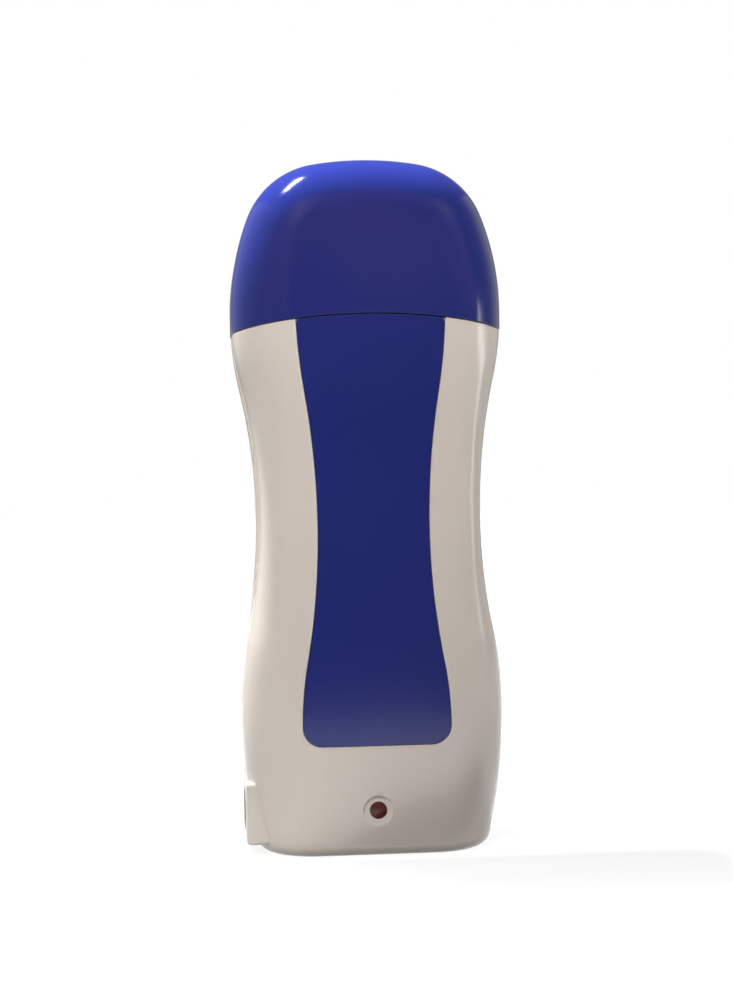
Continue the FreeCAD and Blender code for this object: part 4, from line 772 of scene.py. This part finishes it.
class Shader:
    """A Principled material whose sockets are set or fed by small node chains."""

    def __init__(self, name, **sockets):
        self.material = bpy.data.materials.new(name)
        self.material.use_nodes = True
        self.nodes = self.material.node_tree.nodes
        self.links = self.material.node_tree.links
        self.shader = self.nodes["Principled BSDF"]
        self.place = self.nodes.new("ShaderNodeTexCoord").outputs["Object"]
        for socket, value in sockets.items():
            self.shader.inputs[socket.replace("_", " ")].default_value = value

    def stretched(self, scale):
        """Object coordinates in millimetres, scaled along each axis."""
        mapping = self.nodes.new("ShaderNodeMapping")
        mapping.inputs["Scale"].default_value = [s / MM for s in scale]
        self.links.new(self.place, mapping.inputs["Vector"])
        return mapping.outputs["Vector"]

    def along(self, axis):
        """The object coordinate along one axis, in metres."""
        parts = self.nodes.new("ShaderNodeSeparateXYZ")
        self.links.new(self.place, parts.inputs["Vector"])
        return parts.outputs[axis]

    def noise(self, size, detail, stretch=(1, 1, 1)):
        """Noise whose features are about size millimetres across."""
        texture = self.nodes.new("ShaderNodeTexNoise")
        texture.inputs["Scale"].default_value = 1.0
        texture.inputs["Detail"].default_value = detail
        self.links.new(self.stretched([s / size for s in stretch]), texture.inputs["Vector"])
        return texture.outputs["Fac"]

    def spread(self, factor, low, high, start=0.3, finish=0.7):
        """The factor's middle range turned into numbers between low and high."""
        return map_range(self.nodes, self.links, factor, start, finish, low, high)

    def blend(self, factor, one, other):
        """A colour between two others, each a triple or a socket."""
        mix = self.nodes.new("ShaderNodeMix")
        mix.data_type = "RGBA"
        for name, colour in (("A", one), ("B", other)):
            if isinstance(colour, tuple):
                mix.inputs[name].default_value = (*colour, 1)
            else:
                self.links.new(colour, mix.inputs[name])
        self.links.new(factor, mix.inputs["Factor"])
        return mix.outputs["Result"]

    def tint(self, factor, one, other):
        """Such a colour, fed to the base colour."""
        self.feed("Base Color", self.blend(factor, one, other))

    def mottle(self, one, other, size, detail):
        """Base colour in soft patches of two colours, about size millimetres across."""
        self.tint(self.spread(self.noise(size, detail), 0, 1), one, other)

    def polish(self, low, high, size, detail):
        """Roughness between low and high, in patches about size millimetres across."""
        self.feed("Roughness", self.spread(self.noise(size, detail), low, high))

    def feed(self, socket, value):
        """Link a value to one of the shader's sockets."""
        self.links.new(value, self.shader.inputs[socket])

    def relief(self, *layers):
        """Stack bumps, given as (height, millimetres), on the shader's normal."""
        normal = None
        for height, distance in layers:
            bump = self.nodes.new("ShaderNodeBump")
            bump.inputs["Distance"].default_value = distance * MM
            self.links.new(height, bump.inputs["Height"])
            if normal:
                self.links.new(normal, bump.inputs["Normal"])
            normal = bump.outputs["Normal"]
        self.feed("Normal", normal)


WAVE_HEIGHT, PEEL_HEIGHT = 0.144, 0.00096  # of a polished moulding's waves and orange peel


def gloss_moulding(name, colour, shade, roughness):
    """A polished moulding: faint flow waves, fine orange peel and hairline scuffs."""
    shader = Shader(name, IOR=1.5)
    shader.mottle(colour, shade, size=38, detail=2)
    scuffs = shader.noise(size=1.2, detail=4, stretch=(1, 1, 0.04))
    shader.feed("Roughness", shader.spread(scuffs, roughness, roughness * 1.4, 0.5, 0.8))
    waves = shader.noise(size=26, detail=1, stretch=(1, 1, 0.45))
    peel = shader.noise(size=1.6, detail=2)
    shader.relief((waves, WAVE_HEIGHT), (peel, PEEL_HEIGHT))
    return shader.material


def satin_moulding(name, colour, shade, roughness, grain=0.35):
    """A plain moulding with a fine spark-eroded grain."""
    shader = Shader(name, IOR=1.48)
    shader.mottle(colour, shade, size=14, detail=3)
    shader.polish(roughness * 0.85, roughness * 1.2, size=3, detail=3)
    shader.relief((shader.noise(size=grain, detail=3), 0.012))
    return shader.material


def brushed_metal(name, colour, shade, roughness=0.32, along=(1, 1, 0.03)):
    """Metal with fine lines along one axis."""
    shader = Shader(name, Metallic=1.0)
    lines = shader.noise(size=0.25, detail=3, stretch=along)
    shader.tint(shader.spread(lines, 0, 1), colour, shade)
    shader.feed("Roughness", shader.spread(lines, roughness * 0.8, roughness * 1.3))
    shader.relief((lines, 0.006))
    return shader.material


def red_lens():
    """Clear dark red plastic, moulded with fine prisms inside."""
    shader = Shader("lens_red", IOR=1.49, Transmission_Weight=0.25)
    shader.mottle((0.17, 0.024, 0.022), (0.10, 0.014, 0.014), size=1.1, detail=2)
    shader.polish(0.3, 0.4, size=0.8, detail=2)
    shader.relief((shader.noise(size=0.9, detail=1), 0.02))
    return shader.material


WAX_LINE = (-1.2, 0.4)  # where the wax's tint fades out, from the level of the wax


def natural_bottle():
    """Milky natural plastic, through which the wax shows up to its level."""
    shader = Shader("bottle_natural", IOR=1.5)
    level = node_box("wax_fill")[1][2]
    ends = [(level + offset) * MM for offset in WAX_LINE]
    empty = shader.spread(shader.along("Z"), 0, 1, *ends)
    patches = shader.spread(shader.noise(size=14, detail=2), 0, 1)
    waxy = shader.blend(patches, (0.70, 0.42, 0.15), (0.65, 0.38, 0.125))
    shader.tint(empty, waxy, (0.80, 0.77, 0.70))
    shader.polish(0.22, 0.34, size=4, detail=3)
    shader.relief((shader.noise(size=9, detail=1, stretch=(1, 1, 0.3)), 0.02))
    return shader.material


def honey_wax():
    """Set honey-coloured wax with a cloudy depth."""
    shader = Shader("wax_honey", IOR=1.44, Subsurface_Weight=0.3,
                    Subsurface_Radius=(0.006, 0.003, 0.001))
    shader.mottle((0.62, 0.32, 0.06), (0.42, 0.19, 0.03), size=9, detail=4)
    shader.polish(0.18, 0.4, size=6, detail=2)
    shader.relief((shader.noise(size=5, detail=2), 0.15))
    return shader.material


def green_board():
    """Lacquered circuit board: glass weave under the lacquer and faint copper runs."""
    shader = Shader("board_green", IOR=1.5)
    weave = shader.nodes.new("ShaderNodeTexBrick")
    weave.inputs["Scale"].default_value = 1.0
    weave.inputs["Color1"].default_value = (0.03, 0.20, 0.09, 1)
    weave.inputs["Color2"].default_value = (0.04, 0.24, 0.11, 1)
    weave.inputs["Mortar"].default_value = (0.09, 0.30, 0.12, 1)
    shader.links.new(shader.stretched((0.7, 0.7, 0.7)), weave.inputs["Vector"])
    shader.feed("Base Color", weave.outputs["Color"])
    shader.polish(0.25, 0.4, size=5, detail=2)
    shader.relief((weave.outputs["Fac"], 0.01))
    return shader.material


def flaked_sheet():
    """Pressed mica: overlapping silvery-brown flakes."""
    shader = Shader("mica_sheet", IOR=1.56)
    flakes = shader.nodes.new("ShaderNodeTexVoronoi")
    flakes.inputs["Scale"].default_value = 1.0
    shader.links.new(shader.stretched((0.4, 0.4, 0.4)), flakes.inputs["Vector"])
    shader.tint(flakes.outputs["Color"], (0.72, 0.62, 0.42), (0.58, 0.48, 0.30))
    shader.feed("Roughness", shader.spread(flakes.outputs["Distance"], 0.25, 0.55, 0, 1))
    shader.relief((flakes.outputs["Distance"], 0.03))
    return shader.material


WHITE, WHITE_SHADE = (0.82, 0.74, 0.672), (0.795, 0.715, 0.647)
BLUE, BLUE_SHADE = (0.018, 0.029, 0.212), (0.016, 0.026, 0.196)
MATERIALS = {  # by the record's slot: maker, name, colour, its shade, roughness, grain or lines
    "shell": (gloss_moulding, "white_moulding", WHITE, WHITE_SHADE, 0.17),
    "blue": (gloss_moulding, "blue_moulding", BLUE, BLUE_SHADE, 0.14),
    "collar": (satin_moulding, "collar_moulding", (0.68, 0.64, 0.58), (0.63, 0.59, 0.53), 0.38),
    "chamber": (satin_moulding, "chamber_moulding", (0.56, 0.55, 0.52), (0.50, 0.49, 0.46), 0.5),
    "aluminium": (brushed_metal, "aluminium_sheet", (0.80, 0.81, 0.82), (0.70, 0.71, 0.73)),
    "element": (brushed_metal, "element_casing", (0.60, 0.61, 0.62), (0.50, 0.51, 0.53), 0.42),
    "mica": (flaked_sheet,),
    "steel": (brushed_metal, "plated_steel", (0.66, 0.67, 0.68), (0.54, 0.55, 0.57), 0.28,
              (1, 1, 1)),
    "black_plastic": (satin_moulding, "black_moulding", (0.022, 0.022, 0.024),
                      (0.034, 0.034, 0.036), 0.4),
    "board": (green_board,),
    "resistor": (satin_moulding, "resistor_lacquer", (0.72, 0.60, 0.40), (0.64, 0.52, 0.34), 0.35),
    "lens": (red_lens,),
    "contact": (brushed_metal, "nickel_contact", (0.78, 0.76, 0.70), (0.68, 0.66, 0.60), 0.2,
                (0.03, 1, 1)),
    "lead": (satin_moulding, "silicone_lead", (0.60, 0.57, 0.52), (0.52, 0.49, 0.44), 0.55, 0.8),
    "bottle": (natural_bottle,),
    "wax": (honey_wax,),
    "head": (satin_moulding, "head_moulding", (0.78, 0.77, 0.74), (0.72, 0.71, 0.68), 0.33),
    "roller": (gloss_moulding, "roller_moulding", (0.74, 0.73, 0.70), (0.69, 0.68, 0.65), 0.2),
}


def dress(piece, material):
    """Give a piece one material."""
    if not piece.material_slots:
        piece.data.materials.append(material)
    for slot in piece.material_slots:
        slot.material = material


# ---------- Put the pieces on their bodies ----------

REPLACEMENTS = (  # maker, CAD node, body, slot
    (front_shell, "front_shell", "housing", "shell"),
    (rear_shell, "rear_shell", "housing", "shell"),
    (front_panel, "front_panel", "housing", "blue"),
    (cap, "cap", "cap", "blue"),
    (lamp_lens, "lamp_lens", "housing", "lens"),
    (inlet_housing, "inlet_housing", "housing", "shell"),
    (inlet_socket, "inlet_socket", "housing", "black_plastic"),
    (neck_collar, "neck_collar", "housing", "collar"),
    (wax_bottle, "wax_bottle", "cartridge", "bottle"),
    (wax_fill, "wax_fill", "cartridge", "wax"),
    (roller, "roller", "roller", "roller"),
)
NODE_ROUNDS = {  # CAD nodes that keep their shape and get small rounds, in millimetres
    "inlet_pins": 0.35, "applicator_head": 0.35,
    "chamber_front": 0.3, "chamber_rear": 0.3, "case_screws": 0.15, "clamp_screws": 0.12,
    "board_screws": 0.12, "thermostat": 0.4, "circuit_board": 0.08, "roller_axle": 0.2,
    "thermal_fuse": 0.3, "resistors": 0.25, "heater_plate": 0.1, "heating_element": 0.3,
    "element_clamp": 0.1,
}


def place_pieces():
    """Make the looks of every node."""
    materials = {slot: maker(*values) for slot, (maker, *values) in MATERIALS.items()}
    replaced = set()
    for maker, node, body, slot in REPLACEMENTS:
        piece = maker()
        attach(piece, body)
        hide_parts(node)
        dress(piece, materials[slot])
        replaced.add(node)
    slots = {part["node"]: part["material_slot"] for part in frame["record"]["subparts"]}
    for name, node in frame["nodes"].items():
        if name in replaced:
            continue
        dress(node, materials[slots[name]])
        if name in NODE_ROUNDS:
            rounded(welded(node), NODE_ROUNDS[name])


# ---------- Stage: floor, lights and camera ----------

AMBIENT = 0.28
FLOOR_HALF = 4000
FLOOR_LEVEL = -0.02  # just under the base, so that the two faces don't coincide
FLOOR_COLOUR = (0.3, 0.3, 0.3)
FLOOR_ROUGHNESS, FLOOR_SPECULAR = 0.9, 0.1
FLOOR_LIFT = 0.86  # what the floor adds near the object where it is looked at
FLOOR_NEAR, FLOOR_FAR = 180, 420  # where that starts to rise to plain white, and where it is white

PLAIN, WARM = (1, 1, 1), (1, 0.985, 0.965)
SHADING_SPOTS = (  # name, place, target, spread in degrees, level, softness, blend, colour
    ("cap_key", (-231, 190, 816), (0, -20, 190), 17, 4.3, 60, 0.5, PLAIN),
    ("front_fill", (-310, -600, 560), (-95, 0, 186), 36, 1.01, 180, 1, WARM),
    ("right_fill", (420, -330, 520), (30, 0, 190), 28, 0.6, 125, 1, WARM),
)
MIRRORED_LAMPS = (  # name, place, target, size, radiance, roll in degrees
    ("spark", (-309, 69, 825), (-22, -22, 195), (260, 80), 34, -41.3),
    ("strip", (520, -75, 140), (30, -20, 130), (240, 60), 6, -21.4),
)
DIM, GREY, PINK = (0.12, 0.10, 0.10), (0.12, 0.12, 0.13), (0.36, 0.19, 0.19)
FLAGS = (  # name, corners, (millimetres, colour) stops of its glow, their axis, patches
    ("front_flag", ((-1400, -270, 5), (1000, -270, 5), (1000, -900, 1600), (-1400, -900, 1600)),
     ((5, (0.6, 0.58, 0.56)), (13, (0.35, 0.33, 0.32)), (32, DIM), (165, DIM), (215, PINK),
      (400, PINK)), "Z", 0.4),
    ("ceiling", ((-1600, -900, 1000), (1600, -900, 1000), (1600, 1500, 1000), (-1600, 1500, 1000)),
     ((0, GREY), (1000, GREY)), "Z", 0),
    ("back_flag", ((-1600, 1500, 0), (1600, 1500, 0), (1600, 1500, 1000), (-1600, 1500, 1000)),
     ((0, (0.3, 0.3, 0.3)), (1000, (0.2, 0.2, 0.22))), "Z", 0),
    ("left_flag", ((-900, -900, 0), (-900, 1500, 0), (-900, 1500, 1000), (-900, -900, 1000)),
     ((-300, (0.3, 0.3, 0.3)), (600, (0.5, 0.5, 0.48))), "Y", 0),
    ("right_flag", ((1000, -900, 0), (1000, 1500, 0), (1000, 1500, 1000), (1000, -900, 1000)),
     ((-300, (0.12, 0.11, 0.10)), (150, (0.22, 0.21, 0.2)), (600, (0.62, 0.6, 0.56))), "Y", 0),
)
FLAG_PATCH = 1000 / 14  # how large the patches of a flag's glow are
FLAG_NOISE = (0.35, 0.65)  # the noise's range that they use
SHADE_CARDS = (  # black cards that paint shade; name, corners, the rays that find them dark
    # painted shade: darkens the floor's bounce onto the lower right of the body
    ("floor_shade_card", ((-10, -29, 0.5), (600, -29, 0.5), (600, -500, 0.5), (90, -500, 0.5)),
     "diffuse"),
    # painted shadow: darkens the floor seen in the reflection near the base
    ("foot_shadow_card", ((-10, -29, 0.6), (120, -29, 0.6), (120, -75, 0.6), (20, -75, 0.6)), "glossy"),
)

CAMERA_PLACE = (-49.8, -597.9, 113.9)
CAMERA_TARGET = (0.2, 0, 103.1)
CAMERA_ROLL = -1.03  # in degrees
FOCAL_LENGTH, SENSOR_WIDTH = 71.74, 36
CLIP_END = 50  # in metres


def looked_at(nodes, links):
    """1 for rays from the camera, and for those that a mirror or glass sends on; 0 for the rest."""
    path = nodes.new("ShaderNodeLightPath")
    seen = path.outputs["Is Camera Ray"]
    for ray in ("Is Glossy Ray", "Is Transmission Ray"):
        either = nodes.new("ShaderNodeMath")
        either.operation = "MAXIMUM"
        links.new(seen, either.inputs[0])
        links.new(path.outputs[ray], either.inputs[1])
        seen = either.outputs[0]
    return seen


def world():
    """Soft even light from all round, seen as plain white."""
    scene_world = bpy.data.worlds.new("studio")
    bpy.context.scene.world = scene_world
    scene_world.use_nodes = True
    nodes, links = scene_world.node_tree.nodes, scene_world.node_tree.links
    nodes.clear()
    strength = map_range(nodes, links, looked_at(nodes, links), 0, 1, AMBIENT, 1)
    background = nodes.new("ShaderNodeBackground")
    background.inputs["Color"].default_value = (1, 1, 1, 1)
    links.new(strength, background.inputs["Strength"])
    output = nodes.new("ShaderNodeOutputWorld")
    links.new(background.outputs[0], output.inputs["Surface"])


def floor():
    """A plain pale floor that keeps the object's shadow and turns into the white distance."""
    skin = Skin()
    ends = (-FLOOR_HALF, FLOOR_HALF)
    skin.grid([[(x, y, FLOOR_LEVEL) for x in ends] for y in ends])
    piece = skin.make("floor")
    shader = Shader("floor_pale", Base_Color=(*FLOOR_COLOUR, 1), Roughness=FLOOR_ROUGHNESS,
                    Specular_IOR_Level=FLOOR_SPECULAR, Emission_Color=(1, 1, 1, 1))
    distance = shader.nodes.new("ShaderNodeVectorMath")
    distance.operation = "LENGTH"
    shader.links.new(shader.place, distance.inputs[0])
    lift = shader.spread(distance.outputs["Value"], FLOOR_LIFT, 1, FLOOR_NEAR * MM, FLOOR_FAR * MM)
    shown = shader.nodes.new("ShaderNodeMath")
    shown.operation = "MULTIPLY"
    shader.links.new(lift, shown.inputs[0])
    shader.links.new(looked_at(shader.nodes, shader.links), shown.inputs[1])
    shader.feed("Emission Strength", shown.outputs[0])
    dress(piece, shader.material)


def aim(thing, place, target, roll=0.0):
    """Put a lamp or camera at a place and turn it towards a target; the roll is in degrees."""
    towards = (Vector(target) - Vector(place)).normalized()
    turn = towards.to_track_quat("-Z", "Y").to_matrix().to_4x4()
    roll = Matrix.Rotation(math.radians(roll), 4, "Z")
    thing.matrix_world = Matrix.Translation(Vector(place) * MM) @ turn @ roll


def lamp(name, place, target, size, radiance, roll):
    """A rectangular soft lamp whose face shines at a given level."""
    light = bpy.data.lights.new(name, "AREA")
    aim(add_object(name, light), place, target, roll)
    light.shape = "RECTANGLE"
    light.size, light.size_y = size[0] * MM, size[1] * MM
    light.energy = radiance * math.pi * light.size * light.size_y


def shading_spot(name, place, target, spread, level, softness, blend, colour):
    """A spot lamp that lights what it is aimed at to a given level; no reflection shows it."""
    light = bpy.data.lights.new(name, "SPOT")
    thing = add_object(name, light)
    aim(thing, place, target)
    distance = (Vector(target) - Vector(place)).length * MM
    light.energy = level * 4 * math.pi**2 * distance**2
    light.spot_size = math.radians(spread)
    light.spot_blend = blend
    light.color = colour
    light.shadow_soft_size = softness * MM
    thing.visible_glossy = False


def card(name, corners, seen_by):
    """A black card that one kind of ray sees and that throws no shadow; returns its shader."""
    skin = Skin()
    skin.grid([corners[:2], corners[3:1:-1]])
    piece = skin.make(name)
    shader = Shader(name, Base_Color=(0, 0, 0, 1), Specular_IOR_Level=0, Emission_Strength=0)
    dress(piece, shader.material)
    for ray in ("camera", "diffuse", "glossy", "transmission", "volume_scatter", "shadow"):
        setattr(piece, "visible_" + ray, ray == seen_by)
    return shader


def flag(name, corners, stops, axis, patches):
    """A card that only reflections see; its glow follows (millimetres, colour) stops."""
    shader = card(name, corners, "glossy")
    start, finish = stops[0][0], stops[-1][0]
    ramp = shader.nodes.new("ShaderNodeValToRGB")
    place = shader.spread(shader.along(axis), 0, 1, start * MM, finish * MM)
    shader.links.new(place, ramp.inputs["Fac"])
    marks = ramp.color_ramp.elements
    while len(marks) < len(stops):
        marks.new(0.5)
    for mark, (along, colour) in zip(marks, stops):
        mark.position = (along - start) / (finish - start)
        mark.color = (*colour, 1)
    shader.feed("Emission Color", ramp.outputs["Color"])
    noise = shader.noise(size=FLAG_PATCH, detail=1)
    glow = shader.spread(noise, 1 - patches, 1 + patches, *FLAG_NOISE)
    shader.feed("Emission Strength", glow)


def lights_and_camera():
    """Lamps that only shade, a bright small one and a strip that also mirror, glowing cards that
    only reflections see, and black cards that paint shade.
    """
    world()
    floor()
    for values in SHADING_SPOTS:
        shading_spot(*values)
    for values in MIRRORED_LAMPS:
        lamp(*values)
    for values in FLAGS:
        flag(*values)
    # black cards that paint shade on the lower body and a shadow in its reflection of the floor
    for values in SHADE_CARDS:
        card(*values)
    data = bpy.data.cameras.new("photo_camera")
    data.lens = FOCAL_LENGTH
    data.sensor_width = SENSOR_WIDTH
    data.clip_end = CLIP_END
    camera = add_object("photo_camera", data)
    aim(camera, CAMERA_PLACE, CAMERA_TARGET, CAMERA_ROLL)
    bpy.context.scene.camera = camera
    bpy.context.scene.view_settings.view_transform = "Standard"


place_pieces()
lights_and_camera()
